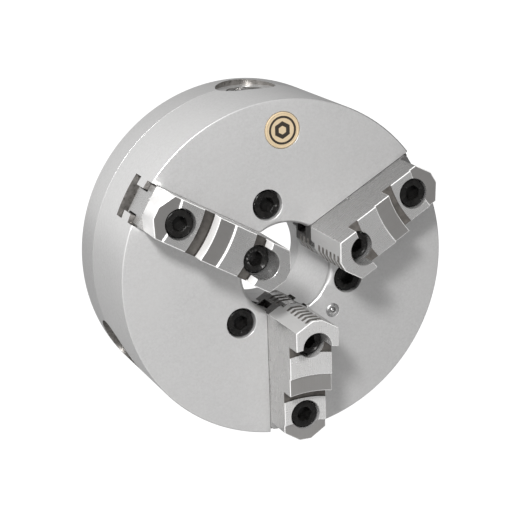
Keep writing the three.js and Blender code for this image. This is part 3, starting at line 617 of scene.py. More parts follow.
def base_jaw(angle):
    past = 3
    plan = nose_plan(BASE_TIP, BASE_END, BASE_HALF, BASE_HALF - 1, 1)
    jaw = broken_edges(milled("base_jaw", plan, KEY_TOP, JAW_BACK), 0.3)
    run = (BASE_TIP - past, BASE_END + past)
    cut(jaw, *both_sides("key_side", run, (KEY_HALF, SLOT_HALF + 1), (BASE_TOP, KEY_TOP + past)))
    groove = (RIB_BACK - 0.4, RIB_FRONT + 0.4)
    cut(jaw, *both_sides("side_groove", run, (WAIST_HALF, SLOT_HALF + 1), groove))
    cross = (CROSS_RADIUS - CROSS_HALF - GAP, CROSS_RADIUS + CROSS_HALF + GAP)
    cross_floor = TOP_BOTTOM - 3.2 - GAP
    cut(jaw, block("cross", cross, WHOLE_WIDTH, (cross_floor, KEY_TOP + past)))
    for stretch in PARTING_RELIEFS:
        edge = (BASE_HALF - 0.6, SLOT_HALF + 1)
        cut(jaw, *both_sides("parting", stretch, edge, (BASE_TOP - 0.5, BASE_TOP + 1)))
    # relief grooves at the foot of the key
    foot = (BASE_TOP - 0.7, BASE_TOP + 0.5)
    cut(jaw, *both_sides("foot", run, (KEY_HALF - 0.4, KEY_HALF + 0.6), foot))
    cut(jaw, *grip_grooves(BASE_TIP, BASE_TOP, 5.3, 3))
    cut(jaw, *rack_tools(angle))
    return cut(jaw, *jaw_screw_tools(BASE_TOP + 6, BASE_TOP + 6))


base_jaws = []
for number, angle in enumerate(JAW_ANGLES, start=1):
    jaw = swing(base_jaw(angle), angle)
    base_jaws.append(finished(jaw, f"base_jaw_{number}_ground"))

# %% [markdown]
# The top jaw does the gripping. It is a bar with three levels, and the risers between them are
# hollow towards the rim. A shallow groove runs at the foot of each riser, and the seat outside it
# drops a little at its end. The main edges are broken before the finer cuts are made.

# %% Top jaws
TOP_TIP = 19.2
TOP_END = 98
TOP_HALF = 13
OUTER_LEVEL = BODY_DEPTH + 22.8
MIDDLE_LEVEL = OUTER_LEVEL + 10
INNER_LEVEL = MIDDLE_LEVEL + 10
INNER_RISER = 35
OUTER_RISER = 65.2
INNER_PAD = 54.8
OUTER_PAD = 86.2
PAD_DROP = 1.2
RELIEF = 6.4
RELIEF_DEPTH = 0.8
RISER_CURVE = 65
NOSE_RELIEF = 4.8


def beyond(riser, level):
    """Everything outside a hollow riser and above a level."""
    half = TOP_HALF + 1
    inside = arc_across(riser, RISER_CURVE, half)
    corners = [(TOP_END + 3, -half)] + inside + [(TOP_END + 3, half)]
    return milled("beyond", corners, INNER_LEVEL + 3, level)


def relief(riser, level):
    """The shallow band at the foot of a riser."""
    half = TOP_HALF + 1
    inside = arc_across(riser, RISER_CURVE, half)
    outside = arc_across(riser + RELIEF, RISER_CURVE, half)
    return milled("relief", outside[::-1] + inside, level + 0.5, level - RELIEF_DEPTH)


def top_jaw():
    past = 3
    plan = nose_plan(TOP_TIP, TOP_END, TOP_HALF, 3.6, 6)
    jaw = milled("top_jaw", plan, INNER_LEVEL, TOP_BOTTOM - past)
    cut(jaw, beyond(INNER_RISER, MIDDLE_LEVEL), beyond(OUTER_RISER, OUTER_LEVEL))
    cut(jaw, beyond(INNER_PAD, MIDDLE_LEVEL - PAD_DROP), beyond(OUTER_PAD, OUTER_LEVEL - PAD_DROP))
    broken_edges(jaw, 0.4)
    # the lower face is cut last, so that its edges stay sharp against the base jaw
    below = (TOP_BOTTOM - 2 * past, TOP_BOTTOM)
    cut(jaw, block("below", (TOP_TIP - past, TOP_END + past), WHOLE_WIDTH, below))
    cut(jaw, relief(INNER_RISER, MIDDLE_LEVEL), relief(OUTER_RISER, OUTER_LEVEL))
    run = (TOP_TIP - past, TOP_END + past)
    key_way = (-KEY_HALF - GAP, KEY_HALF + GAP)
    cut(jaw, block("key_way", run, key_way, (TOP_BOTTOM - 1, KEY_TOP + GAP)))
    cross = (CROSS_RADIUS - CROSS_HALF, CROSS_RADIUS + CROSS_HALF)
    key = block("cross_key", cross, (-BASE_HALF, BASE_HALF), (TOP_BOTTOM - 3.2, TOP_BOTTOM + 1))
    weld(jaw, broken_edges(key, 0.3))
    # a relief notch beside the cross key, and the undercut behind the gripping end
    notch = (cross[0] - 0.1, cross[0] + 1.3)
    cut(jaw, block("notch", notch, WHOLE_WIDTH, (TOP_BOTTOM - 0.3, TOP_BOTTOM + 2.2)))
    undercut = (TOP_BOTTOM - 1, TOP_BOTTOM + NOSE_RELIEF)
    cut(jaw, block("undercut", (TOP_TIP - past, TOP_TIP + 2), WHOLE_WIDTH, undercut))
    cut(jaw, *grip_grooves(TOP_TIP, INNER_LEVEL, 3.4, 6))
    return cut(jaw, *jaw_screw_tools(INNER_LEVEL, OUTER_LEVEL - 0.2))


top_jaws = on_each(top_jaw(), JAW_ANGLES, "top_jaw_{}_ground")

# %% [markdown]
# Every screw is a socket-head cap screw with a knurled head, a hexagon socket and a thread. The
# thread is turned as rings of the right pitch, which looks the same as a helix at this size.

# %% Screws
def fitted(screw, name, out, angle, depth, turn=0):
    """Moves a screw made at the axis to its place on a spoke."""
    twin = copied(screw, name)
    twin.rotation_euler[1] = math.radians(turn)
    bpy.ops.object.transform_apply()
    twin.location = place(out, 0, depth)
    bpy.ops.object.transform_apply()
    return finished(swing(twin, angle), name)


# size, length and turn of the socket; radius, angles and depth; first turn and step from it
SCREWS = {
    "jaw_screw_inner": (M10, 30, 30, INNER_SCREW, JAW_ANGLES, INNER_HEAD_TOP, 0, 17),
    "jaw_screw_outer": (M10, 25, 30, OUTER_SCREW, JAW_ANGLES, OUTER_HEAD_TOP, 11, -17),
    "mounting_screw": (M10, 62, 30, MOUNT_RADIUS, MOUNT_ANGLES, MOUNT_TOP, 0, 23),
    "cover_screw": (M6, 30, 0, COVER_RADIUS, COVER_ANGLES, 1, 0, 19),
}
screws = {}
for kind, (size, length, socket_turn, radius, angles, depth, turn, step) in SCREWS.items():
    first = knurled(cap_screw(size, length, socket_turn), size)
    if kind == "cover_screw":
        only(first)
        first.rotation_euler[0] = math.pi
        bpy.ops.object.transform_apply()
    for number, angle in enumerate(angles, start=1):
        name = f"{kind}_{number}"
        screws[name] = fitted(first, f"{name}_black", radius, angle, depth, turn + step * number)
    bpy.data.objects.remove(first)

# %% [markdown]
# A pinion is a short shaft with a bevel gear inside and a square socket outside. The teeth all
# point at one apex on the chuck's axis, so the outline is extruded inwards and scaled down.

# %% Pinions
GEAR_TEETH = 63
PINION_TEETH = 9
GEAR_REACH = 83.5
PRESSURE = math.radians(25)
BACKLASH = 0.5


def tooth_outline():
    """Involute teeth as (across, height) pairs at the gears' outer end."""
    pitch_radius = GEAR_REACH * PINION_TEETH / GEAR_TEETH
    module = 2 * GEAR_REACH / GEAR_TEETH
    base_radius = pitch_radius * math.cos(PRESSURE)
    root = pitch_radius - 0.9 * module
    tip = pitch_radius + 0.9 * module
    half_pitch = (math.pi * module / 4 - BACKLASH / 4) / pitch_radius

    def half_angle(radius):
        lean = math.acos(min(1, base_radius / radius))
        return half_pitch + (math.tan(PRESSURE) - PRESSURE) - (math.tan(lean) - lean)

    radii = [base_radius + (tip - base_radius) * index / 5 for index in range(6)]
    flank = [(root, half_angle(base_radius))] + [(radius, half_angle(radius)) for radius in radii]
    points = []
    for index in range(PINION_TEETH):
        middle = 2 * math.pi * index / PINION_TEETH
        tooth = [(radius, middle - half) for radius, half in flank]
        tooth += [(radius, middle + half) for radius, half in reversed(flank)]
        points += [(radius * math.sin(turn), radius * math.cos(turn)) for radius, turn in tooth]
    return points


def pinion():
    gear = tapered("pinion_gear", tooth_outline(), GEAR_OUTER, GEAR_INNER)
    broken_edges(gear, 0.2, degrees=45)
    shaft = turned(
        "shaft",
        [
            (0, GEAR_INNER - 8), (4.6, GEAR_INNER - 8), (5, GEAR_INNER - 7.6),
            (5, GEAR_OUTER - 0.4), (8, GEAR_OUTER - 0.2), (JOURNAL_RADIUS, GEAR_OUTER + 0.1),
            (JOURNAL_RADIUS, SPOT_FACE - 0.8), (JOURNAL_RADIUS - 0.8, SPOT_FACE), (0, SPOT_FACE),
        ],
        steps=96,
    )
    piece = weld(gear, laid_over(shaft))
    half = 5.5 * math.sqrt(2)
    corners = [(half, 0), (0, half), (-half, 0), (0, -half)]
    square = milled("square", corners, SPOT_FACE + 1, SPOT_FACE - 14)
    mouth = milled("mouth", corners, SPOT_FACE + 1, SPOT_FACE - 1)
    only(mouth)
    for polygon in mouth.data.polygons:
        polygon.select = polygon.center.y < -(SPOT_FACE + 0.5) * MM
    bpy.ops.object.mode_set(mode="EDIT")
    bpy.ops.transform.resize(value=(1.26, 1, 1.26), center_override=place(0, 0, SPOT_FACE))
    bpy.ops.object.mode_set(mode="OBJECT")
    return cut(piece, laid_over(square), laid_over(mouth))


pinions = on_each(pinion(), PINION_ANGLES, "pinion_{}_steel")

# %% [markdown]
# The scroll is a ring with a flat spiral thread on its front and a bevel ring gear on its back.
# The thread is one outline, out along one flank and back along the other. The gear's gaps are
# wedges.

# %% Scroll plate
THREAD_CREST = 57.9
THREAD_ROOT = 52.4
THREAD_HALF = 2.3
SCROLL_INNER = 49.4
SCROLL_OUTER = 85.8
GEAR_START = 65.2
TIP_SLOPE = 1 / 7 - 0.75 * 2 / GEAR_TEETH
ROOT_SLOPE = 1 / 7 + 1.05 * 2 / GEAR_TEETH
SCROLL_BACK = PINION_DEPTH + GEAR_START * TIP_SLOPE


def thread_flank(offset, start, end, steps=72):
    first = math.ceil(start / SCROLL_PITCH * steps)
    last = math.floor(end / SCROLL_PITCH * steps)
    turns = [step / steps for step in range(first, last + 1)]
    return [polar(SCROLL_PITCH * turn + offset, 2 * math.pi * turn) for turn in turns]


def gear_gap():
    pitch_height = GEAR_REACH / 7
    quarter = math.pi * GEAR_REACH / GEAR_TEETH / 2 + BACKLASH / 4
    heights = (GEAR_REACH * ROOT_SLOPE, GEAR_REACH * TIP_SLOPE - 1)
    halves = [quarter + (pitch_height - height) * math.tan(PRESSURE) for height in heights]
    (low, high), (wide, narrow) = heights, halves
    corners = [(-wide, low), (wide, low), (narrow, high), (-narrow, high)]
    return tapered("gear_gap", corners, GEAR_REACH + 2, GEAR_START)


scroll = turned(
    "scroll_plate_hard",
    [
        (SCROLL_INNER, SCROLL_BACK), (GEAR_START, SCROLL_BACK),
        (GEAR_REACH, PINION_DEPTH + GEAR_REACH * TIP_SLOPE), (GEAR_REACH, 42),
        (SCROLL_OUTER - 0.4, 42), (SCROLL_OUTER, 42.4), (SCROLL_OUTER, THREAD_ROOT - 0.4),
        (SCROLL_OUTER - 0.4, THREAD_ROOT), (SCROLL_INNER + 0.4, THREAD_ROOT),
        (SCROLL_INNER, THREAD_ROOT - 0.4),
    ],
    steps=144,
)
flanks = (SCROLL_INNER + 0.6 + THREAD_HALF, SCROLL_OUTER - 0.4 - THREAD_HALF)
outer_flank = thread_flank(THREAD_HALF, *flanks)
inner_flank = thread_flank(-THREAD_HALF, *flanks)
thread = milled("thread", outer_flank + inner_flank[::-1], THREAD_CREST, THREAD_ROOT - 1)
broken_edges(thread, 0.25, degrees=50, segments=1)
weld(scroll, thread)
cut(scroll, *on_spokes(gear_gap(), [90 + 360 / GEAR_TEETH * index for index in range(GEAR_TEETH)]))
finished(scroll, "scroll_plate_hard")

# %% [markdown]
# The small pieces come last: a thin badge with a raised rim and a plain ring, the oiler's pressed
# cup with its ball, and the two dowels that line up body and back plate.

# %% Badge, oiler and dowels
BADGE_TOP = BODY_DEPTH + 0.3
BADGE_HALF = 10.5
badge = turned(
    "badge_blank",
    [
        (0, BODY_DEPTH - 0.9), (BADGE_HALF, BODY_DEPTH - 0.9), (BADGE_HALF, BODY_DEPTH + 0.05),
        (BADGE_HALF - 0.25, BADGE_TOP), (BADGE_HALF - 0.9, BADGE_TOP),
        (BADGE_HALF - 1.1, BADGE_TOP - 0.25), (8.5, BADGE_TOP - 0.25), (8.3, BADGE_TOP - 0.1),
        (7.0, BADGE_TOP - 0.1), (6.8, BADGE_TOP - 0.25), (0, BADGE_TOP - 0.25),
    ],
    steps=96,
    centre=(BADGE_RADIUS, 0),
)
finished(swing(badge, 90), "badge_enamelled")

OILER_TOP = BODY_DEPTH + 0.2
cup = turned(
    "oiler_cup_plated",
    [
        (0, OILER_TOP - 8), (3.8, OILER_TOP - 8), (3.8, BODY_DEPTH - 0.6), (3.2, BODY_DEPTH - 0.3),
        (3.0, OILER_TOP), (2.3, OILER_TOP), (1.9, OILER_TOP - 0.5), (1.9, OILER_TOP - 4),
        (0, OILER_TOP - 4),
    ],
    steps=48,
    centre=(OILER_RADIUS, 0),
)
finished(swing(cup, OILER_ANGLE), "oiler_cup_plated")
BALL_RADIUS = 1.5
BALL_DEPTH = OILER_TOP - 4 + BALL_RADIUS + GAP
ball_outline = [(0, BALL_DEPTH - BALL_RADIUS)]
for index in range(1, 12):
    out, up = polar(BALL_RADIUS, math.radians(-90 + 15 * index))
    ball_outline.append((out, BALL_DEPTH + up))
ball_outline.append((0, BALL_DEPTH + BALL_RADIUS))
ball = turned("oiler_ball_plated", ball_outline, steps=32, centre=(OILER_RADIUS, 0))
finished(swing(ball, OILER_ANGLE), "oiler_ball_plated", degrees=60)

dowel = turned(
    "dowel",
    [
        (0, SEAM_DEPTH - DOWEL_HALF), (2.5, SEAM_DEPTH - DOWEL_HALF),
        (3, SEAM_DEPTH - DOWEL_HALF + 0.5), (3, SEAM_DEPTH + DOWEL_HALF - 1),
        (2.2, SEAM_DEPTH + DOWEL_HALF), (0, SEAM_DEPTH + DOWEL_HALF),
    ],
    steps=32,
    centre=(COVER_RADIUS, 0),
)
dowels = on_each(dowel, DOWEL_ANGLES, "dowel_pin_{}_steel")

# %% [markdown]
# Now the finishes. Shader arithmetic is easier to read as a formula than as a web of boxes. This
# class wraps one output socket, and each operation on it adds its own Math node.

# %% Shader arithmetic
class Amount:
    """A shader value that can be used in a formula."""

    def __init__(self, tree, socket):
        self.tree = tree
        self.socket = socket

    def math(self, operation, *others, clamp=False):
        node = self.tree.nodes.new("ShaderNodeMath")
        node.operation = operation
        node.use_clamp = clamp
        for entry, value in zip(node.inputs, others):
            plug(self.tree, entry, value)
        return Amount(self.tree, node.outputs[0])

    def __add__(self, other):
        return self.math("ADD", self, other)

    __radd__ = __add__

    def __sub__(self, other):
        return self.math("SUBTRACT", self, other)

    def __rsub__(self, other):
        return self.math("SUBTRACT", other, self)

    def __mul__(self, other):
        return self.math("MULTIPLY", self, other)

    __rmul__ = __mul__

    def root(self):
        return self.math("SQRT", self)

    def size(self):
        return self.math("ABSOLUTE", self)

    def larger(self, other):
        return self.math("MAXIMUM", self, other)

    def band(self, low, high, soft):
        """1 between two values and 0 outside them, with soft ends."""
        return self.ramp(low - soft, low + soft) * (1 - self.ramp(high - soft, high + soft))

    def ramp(self, low, high):
        """0 below `low`, 1 above `high`, and straight between."""
        return self.math("MULTIPLY", self - low, 1 / (high - low), clamp=True)


def plug(tree, entry, value):
    if isinstance(value, Amount):
        tree.links.new(value.socket, entry)
    elif isinstance(value, bpy.types.NodeSocket):
        tree.links.new(value, entry)
    else:
        entry.default_value = value


class Finish:
    """A material whose nodes are added by formula."""

    def __init__(self, name, **settings):
        self.material = bpy.data.materials.new(name)
        self.material.use_nodes = True
        self.tree = self.material.node_tree
        self.shader = self.tree.nodes["Principled BSDF"]
        for entry, value in settings.items():
            self.set(entry.replace("_", " "), value)
        self.read(self.node("ShaderNodeTexCoord").outputs["Object"])

    def read(self, where):
        """Takes the coordinates that the noises and formulas use."""
        self.where = where
        parts = self.node("ShaderNodeSeparateXYZ", Vector=where)
        self.x, self.y, self.z = (Amount(self.tree, parts.outputs[axis]) for axis in "XYZ")

    def set(self, entry, value):
        plug(self.tree, self.shader.inputs[entry], value)

    def node(self, kind, settings=None, **values):
        made = self.tree.nodes.new(kind)
        for key, value in (settings or {}).items():
            setattr(made, key, value)
        for key, value in values.items():
            plug(self.tree, made.inputs[key.replace("_", " ")], value)
        return made

    def noise(self, grain, detail=4, rough=0.6, stretch=None, along=None):
        """Noise with a grain in mm, 0 to 1, stretched by a vector or read along one value only."""
        values = {"Scale": 1 / (grain * MM), "Detail": detail, "Roughness": rough}
        where = self.where
        if stretch is not None:
            where = self.node("ShaderNodeMapping", Vector=where, Scale=stretch).outputs[0]
        if along is None:
            node = self.node("ShaderNodeTexNoise", Vector=where, **values)
        else:
            node = self.node("ShaderNodeTexNoise", {"noise_dimensions": "1D"}, W=along, **values)
        return Amount(self.tree, node.outputs["Fac"])

    def mixed(self, factor, first, second):
        """Two colours mixed by a value."""
        node = self.tree.nodes.new("ShaderNodeMix")
        node.data_type = "RGBA"
        plug(self.tree, node.inputs[0], factor)
        plug(self.tree, node.inputs[6], first)
        plug(self.tree, node.inputs[7], second)
        return node.outputs[2]

    def done(self, colour, roughness, height, strength, distance):
        """Plugs in the colour, the roughness and a bump of a height in mm."""
        self.set("Base Color", colour)
        self.set("Roughness", roughness)
        node = self.node("ShaderNodeBump", Height=height, Strength=strength, Distance=distance * MM)
        self.set("Normal", node.outputs[0])
        return self.material


def grey(value, warm=0.0):
    return (value * (1 + warm), value, value * (1 - warm), 1)


# %% [markdown]
# The body and the back plate are turned, then ground: the marks run as rings on the flat faces and
# as hoops on the rim. One noise is read along the radius and one along the depth. Faint broad
# stains and a slightly uneven gloss keep so large a face from looking like paper.

# %% Ground and turned steel
def turned_steel(name, tone, gloss, marks, warm=0.004, metal=1.0):
    finish = Finish(name, Metallic=metal)
    radius = (finish.x * finish.x + finish.z * finish.z).root()
    rings = finish.noise(1.1, rough=0.7, along=radius)
    hoops = finish.noise(0.9, rough=0.7, along=finish.y)
    fine = finish.noise(0.55, detail=3, rough=0.7)
    grain = finish.noise(1.5, rough=0.75)
    broad = finish.noise(30)
    stain = finish.noise(17, detail=5, rough=0.65).ramp(0.52, 0.8)
    lines = (rings + hoops) * 0.5
    shade = finish.mixed(lines.ramp(0.3, 0.7), grey(tone * 0.98, warm), grey(tone * 1.02, warm))
    shade = finish.mixed(grain.ramp(0.32, 0.68) * 0.8, shade, grey(tone * 0.83, warm * 2))
    shade = finish.mixed(broad.ramp(0.35, 0.7) * 0.5, shade, grey(tone * 0.94, warm * 2))
    shade = finish.mixed(stain * 0.14, shade, grey(tone * 0.82, 0.03))
    roughness = gloss + (broad - 0.5) * 0.08 + (lines - 0.5) * 0.08 + (grain - 0.5) * 0.16
    height = lines * 0.35 + fine * 0.3 + grain * 0.35
    return finish.done(shade, roughness, height, marks, 0.03)


body_steel = turned_steel("ground_body_steel", 0.81, 0.4, 0.25, metal=0.6)
plate_steel = turned_steel("turned_plate_steel", 0.76, 0.36, 0.3, metal=0.7)
hard_steel = turned_steel("hardened_steel", 0.5, 0.32, 0.25, warm=0.01)

# %% [markdown]
# Jaws are surface ground, with fine straight lines along the spoke, so the coordinates are turned
# by a Mapping node first. The grooves at the feet of the risers keep the brown-grey scale of the
# hardening oven, darkened on one jaw as painted shade, and the side grooves, slots and grips get
# dark steel as painted shade.

# %% Jaw steel, oven scale and painted shade
def jaw_steel(name, angle, tone, gloss=0.27, warm=0.006, metal=0.85, streaks=0.03):
    finish = Finish(name, Metallic=metal)
    rotation = (0, math.radians(angle), 0)
    finish.read(finish.node("ShaderNodeMapping", Vector=finish.where, Rotation=rotation).outputs[0])
    lengthways = finish.noise(0.7, detail=3, stretch=(0.03, 1, 1))
    crossways = finish.noise(0.9, detail=2, rough=0.5, stretch=(1, 1, 0.05))
    broad = finish.noise(14, detail=3, rough=0.55)
    spots = finish.noise(5, detail=3).ramp(0.58, 0.85)
    lines = lengthways * 0.85 + crossways * 0.15
    dim, bright = grey(tone * (1 - streaks), warm * 1.5), grey(tone * (1 + streaks), warm)
    shade = finish.mixed(lines.ramp(0.3, 0.7), dim, bright)
    shade = finish.mixed(broad.ramp(0.4, 0.75) * 0.5, shade, grey(tone * 0.9, warm + 0.01))
    shade = finish.mixed(spots * 0.2, shade, grey(tone * 0.75, warm + 0.02))
    roughness = gloss + (lines - 0.5) * 0.08 + (broad - 0.5) * 0.08
    return finish.done(shade, roughness, lines, 0.05, 0.02)


# oven scale in a tone given per jaw; the left jaw's darker tone is painted shade
def oven_scale_and_painted_shade(name, tone):
    finish = Finish(name, Metallic=0.7)
    broad = finish.noise(4)
    fine = finish.noise(0.8, rough=0.7)
    shade = finish.mixed(broad.ramp(0.3, 0.72), grey(tone * 0.75, 0.08), grey(tone * 1.4, 0.08))
    shade = finish.mixed(fine.ramp(0.5, 0.85) * 0.4, shade, grey(tone * 1.8, 0.06))
    return finish.done(shade, 0.4 + (broad - 0.5) * 0.25, broad * 0.5 + fine * 0.5, 0.4, 0.06)


def painted_shade_steel(name, dark, light):
    """Dark steel painted as the shade in grooves, partings, grips and recesses."""
    finish = Finish(name, Metallic=0.6)
    broad = finish.noise(2.5)
    colour = finish.mixed(broad.ramp(0.35, 0.7), grey(dark, 0.06), grey(light, 0.05))
    return finish.done(colour, 0.3 + (broad - 0.5) * 0.2, broad, 0.2, 0.03)


# painted shade: deep in the base jaws' side grooves and partings, light in grips and recess walls
deep_painted_shade = painted_shade_steel("painted_shade_steel", 0.03, 0.1)
light_painted_shade = painted_shade_steel("light_painted_shade_steel", 0.16, 0.3)

# %% [markdown]
# The screws are black oxide, flecked with grey at random. The badge is cream enamel with a plain
# ring and hexagon, and the oiler is zinc.

# %% Black oxide, enamel and zinc
def black_oxide():
    finish = Finish("black_oxide", Metallic=0.2, Specular_IOR_Level=0.35)
    broad = finish.noise(3)
    fine = finish.noise(0.5, detail=3)
    shade = finish.mixed(broad.ramp(0.35, 0.7), grey(0.006, 0.03), grey(0.015, 0.06))
    shade = finish.mixed(fine.ramp(0.58, 0.85) * 0.35, shade, grey(0.05, 0.04))
    return finish.done(shade, 0.28 + (broad - 0.5) * 0.2 + (fine - 0.5) * 0.15, fine, 0.35, 0.03)


def enamel():
    finish = Finish("badge_enamel", Metallic=0.0)
    centre = place(0, BADGE_RADIUS, BODY_DEPTH)
    out_x = finish.x - centre.x
    out_z = finish.z - centre.z
    radius = (out_x * out_x + out_z * out_z).root()
    soft = 0.06 * MM
    ring = radius.band(7.0 * MM, 8.3 * MM, soft)
    # a plain hexagon: the larger of a point's distances from the middle, measured to its sides
    side_x = out_x.size()
    hexagon_size = side_x.larger(side_x * 0.5 + out_z.size() * math.sin(math.radians(60)))
    dark = ring.larger(hexagon_size.band(2.2 * MM, 4.5 * MM, soft))
    broad = finish.noise(4)
    cream = finish.mixed(broad, (0.56, 0.44, 0.28, 1), (0.65, 0.52, 0.35, 1))
    colour = finish.mixed(dark, cream, (0.035, 0.028, 0.022, 1))
    return finish.done(colour, 0.34 + (broad - 0.5) * 0.15, 1 - dark, 0.4, 0.08)


def zinc():
    finish = Finish("bright_zinc", Metallic=1.0)
    fine = finish.noise(0.6, detail=3, rough=0.55)
    colour = finish.mixed(fine, grey(0.6, 0.0), grey(0.72, 0.005))
    return finish.done(colour, 0.42 + (fine - 0.5) * 0.2, fine, 0.2, 0.02)


black, cream_enamel, plating = black_oxide(), enamel(), zinc()

# %% [markdown]
# Each piece is now told what it stands for: it replaces an imported node and rides on that
# node's body.

# %% Dress and attach every piece
def attach(piece, node, body_name, slot, *finishes):
    piece.data.materials.clear()
    for finish in finishes:
        piece.data.materials.append(finish)
    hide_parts(node)
    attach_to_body(piece, body_name)


attach(body, "chuck_body", "frame", "body_ground_steel", body_steel, light_painted_shade)
attach(plate, "back_plate", "frame", "plate_turned_steel", plate_steel, light_painted_shade)
attach(scroll, "scroll_plate", "scroll", "hardened_steel", hard_steel)
attach(badge, "badge", "frame", "badge_enamel", cream_enamel)
attach(cup, "oiler_cup", "frame", "zinc_plated_steel", plating)
attach(ball, "oiler_ball", "frame", "zinc_plated_steel", plating)


def jaw_finishes(number, angle, top_painted_light_tone, scale_and_painted_shade_tone, pad_tone, end_painted_light_tone, side_painted_shade_tone):
    """A jaw's finishes, in the order of the places below."""

    def steel(part, tone, **settings):
        return jaw_steel(f"{part}_{number}", angle, tone, **settings)

    # and the near-white edge steel is a painted highlight
    # top steel and end tones are painted light and shade per jaw, side tones painted shade,
    return (
        steel("top_jaw_painted_light_steel", top_painted_light_tone, metal=1.25 - 0.6 * top_painted_light_tone),
        oven_scale_and_painted_shade(f"oven_scale_{number}", scale_and_painted_shade_tone),
        steel("jaw_pad_steel", pad_tone, gloss=0.3, warm=0.02),
        light_painted_shade,
        steel("jaw_end_painted_light_steel", end_painted_light_tone, gloss=0.42, metal=0.35, streaks=0.05),
        steel("jaw_side_painted_shade_steel", side_painted_shade_tone),
        steel("jaw_edge_painted_highlight_steel", 0.97, gloss=0.45, metal=0.15, streaks=0.02),
    )


# each jaw's tones of its steel, scale, pads, ends and sides; the steel, end and side tones and the
# left jaw's darker scale are painted light and shade, set by how the light falls on each jaw
JAW_TONES_AND_PAINTED_LIGHT = (
    (0.95, 0.15, 0.52, 0.6, 0.62),
    (0.76, 0.2, 0.48, 0.56, 0.31),
    (0.66, 0.065, 0.41, 0.92, 0.62),
)
for number, (angle, tones) in enumerate(zip(JAW_ANGLES, JAW_TONES_AND_PAINTED_LIGHT), start=1):
    finishes = jaw_finishes(number, angle, *tones)
    rider = f"jaw_{number}_body"
    base = base_jaws[number - 1]
    # base jaw: side tone as painted shade, deep painted shade in grooves and partings, light in
    # grips
    attach(base, f"base_jaw_{number}", rider, "jaw_steel", finishes[5], deep_painted_shade, light_painted_shade)
    attach(top_jaws[number - 1], f"top_jaw_{number}", rider, "jaw_steel", *finishes)
for number, pinion_piece in enumerate(pinions, start=1):
    rider = f"pinion_{number}_body"
    attach(pinion_piece, f"pinion_{number}", rider, "hardened_steel", hard_steel)
for name, screw in screws.items():
    rider = f"jaw_{name[-1]}_body" if name.startswith("jaw") else "frame"
    attach(screw, name, rider, "black_oxide_steel", black)
for number, dowel in enumerate(dowels, start=1):
    attach(dowel, f"dowel_pin_{number}", "frame", "hardened_steel", hard_steel)

# %% [markdown]
# One jaw carries several finishes, and each face gets its own by where it lies: scale with painted
# shade in the grooves at the feet of the risers, darker steel on the pads, painted shade in the
# grips, painted light and shade on the ends and risers, painted shade on the sides and a painted
# highlight on the broken edges. The walls of the slots and spot faces in the body get painted
# shade too.

# %% Finishes by place
GROUND, SCALE_AND_PAINTED_SHADE, PAD, GRIP_PAINTED_SHADE, END_PAINTED_LIGHT, SIDE_PAINTED_SHADE, EDGE_PAINTED_HIGHLIGHT = range(7)


def on_the_spoke(vector, angle):
    """A place or a direction as its values out along the spoke, across it and in depth."""
    turn = math.radians(angle)
    x, y, z = vector
    out = x * math.cos(turn) + z * math.sin(turn)
    return out, z * math.cos(turn) - x * math.sin(turn), -y


def in_a_grip(out, tip, normal, level):
    """The floor or a wall of a groove across the gripping end."""
    return tip + 0.4 < out < tip + 1.9 and (normal[0] < -0.99 or abs(normal[1]) > 0.3) and level


STEPS = ((INNER_RISER, INNER_PAD, MIDDLE_LEVEL), (OUTER_RISER, OUTER_PAD, OUTER_LEVEL))


def top_jaw_place(out, across, depth, normal):
    rise = RISER_CURVE - math.sqrt(RISER_CURVE**2 - across**2)
    for riser, pad, level in STEPS:
        reach = out - riser - rise
        # the relief at a riser's foot: oven scale with painted shade
        if level - RELIEF_DEPTH - 0.05 < depth < level - 0.1 and -0.3 < reach < RELIEF + 0.3:
            return SCALE_AND_PAINTED_SHADE
        if normal[1] > 0.99 and abs(depth - level + PAD_DROP) < 0.05 and out > pad:
            return PAD
    # the grip grooves: painted shade
    if in_a_grip(out, TOP_TIP, normal, depth < INNER_LEVEL - 1):
        return GRIP_PAINTED_SHADE
    from_a_screw = min(math.hypot(out - radius, across) for radius in (INNER_SCREW, OUTER_SCREW))
    if normal[1] > 0.97 or from_a_screw < JAW_COUNTERBORE + 0.5:
        return GROUND
    # upward edges get a painted highlight, ends and risers painted light, sides painted shade
    if 0.2 < normal[1]:
        return EDGE_PAINTED_HIGHLIGHT
    return END_PAINTED_LIGHT if abs(normal[0]) > 0.35 else SIDE_PAINTED_SHADE


def base_jaw_place(out, across, depth, normal):
    along_the_side = RIB_BACK - 0.5 < depth < RIB_FRONT + 0.5 and abs(across) < BASE_HALF - 0.1
    in_side_groove = along_the_side and abs(normal[0]) < 0.9
    in_grip = in_a_grip(out, BASE_TIP, normal, depth < BASE_TOP - 1)
    in_parting = depth > BASE_TOP - 0.6 and abs(across) > BASE_HALF - 0.7 and normal[1] < 0.99
    # grips get light painted shade (2); side grooves and partings deep painted shade (1)
    if in_grip:
        return 2
    return 1 if in_side_groove or in_parting else 0


def painted(jaws, place_of):
    for jaw, angle in zip(jaws, JAW_ANGLES):
        for polygon in jaw.data.polygons:
            normal = on_the_spoke(polygon.normal, angle)
            centre = on_the_spoke(polygon.center / MM, angle)
            polygon.material_index = place_of(*centre, (normal[0], normal[2]))


painted(top_jaws, top_jaw_place)
painted(base_jaws, base_jaw_place)


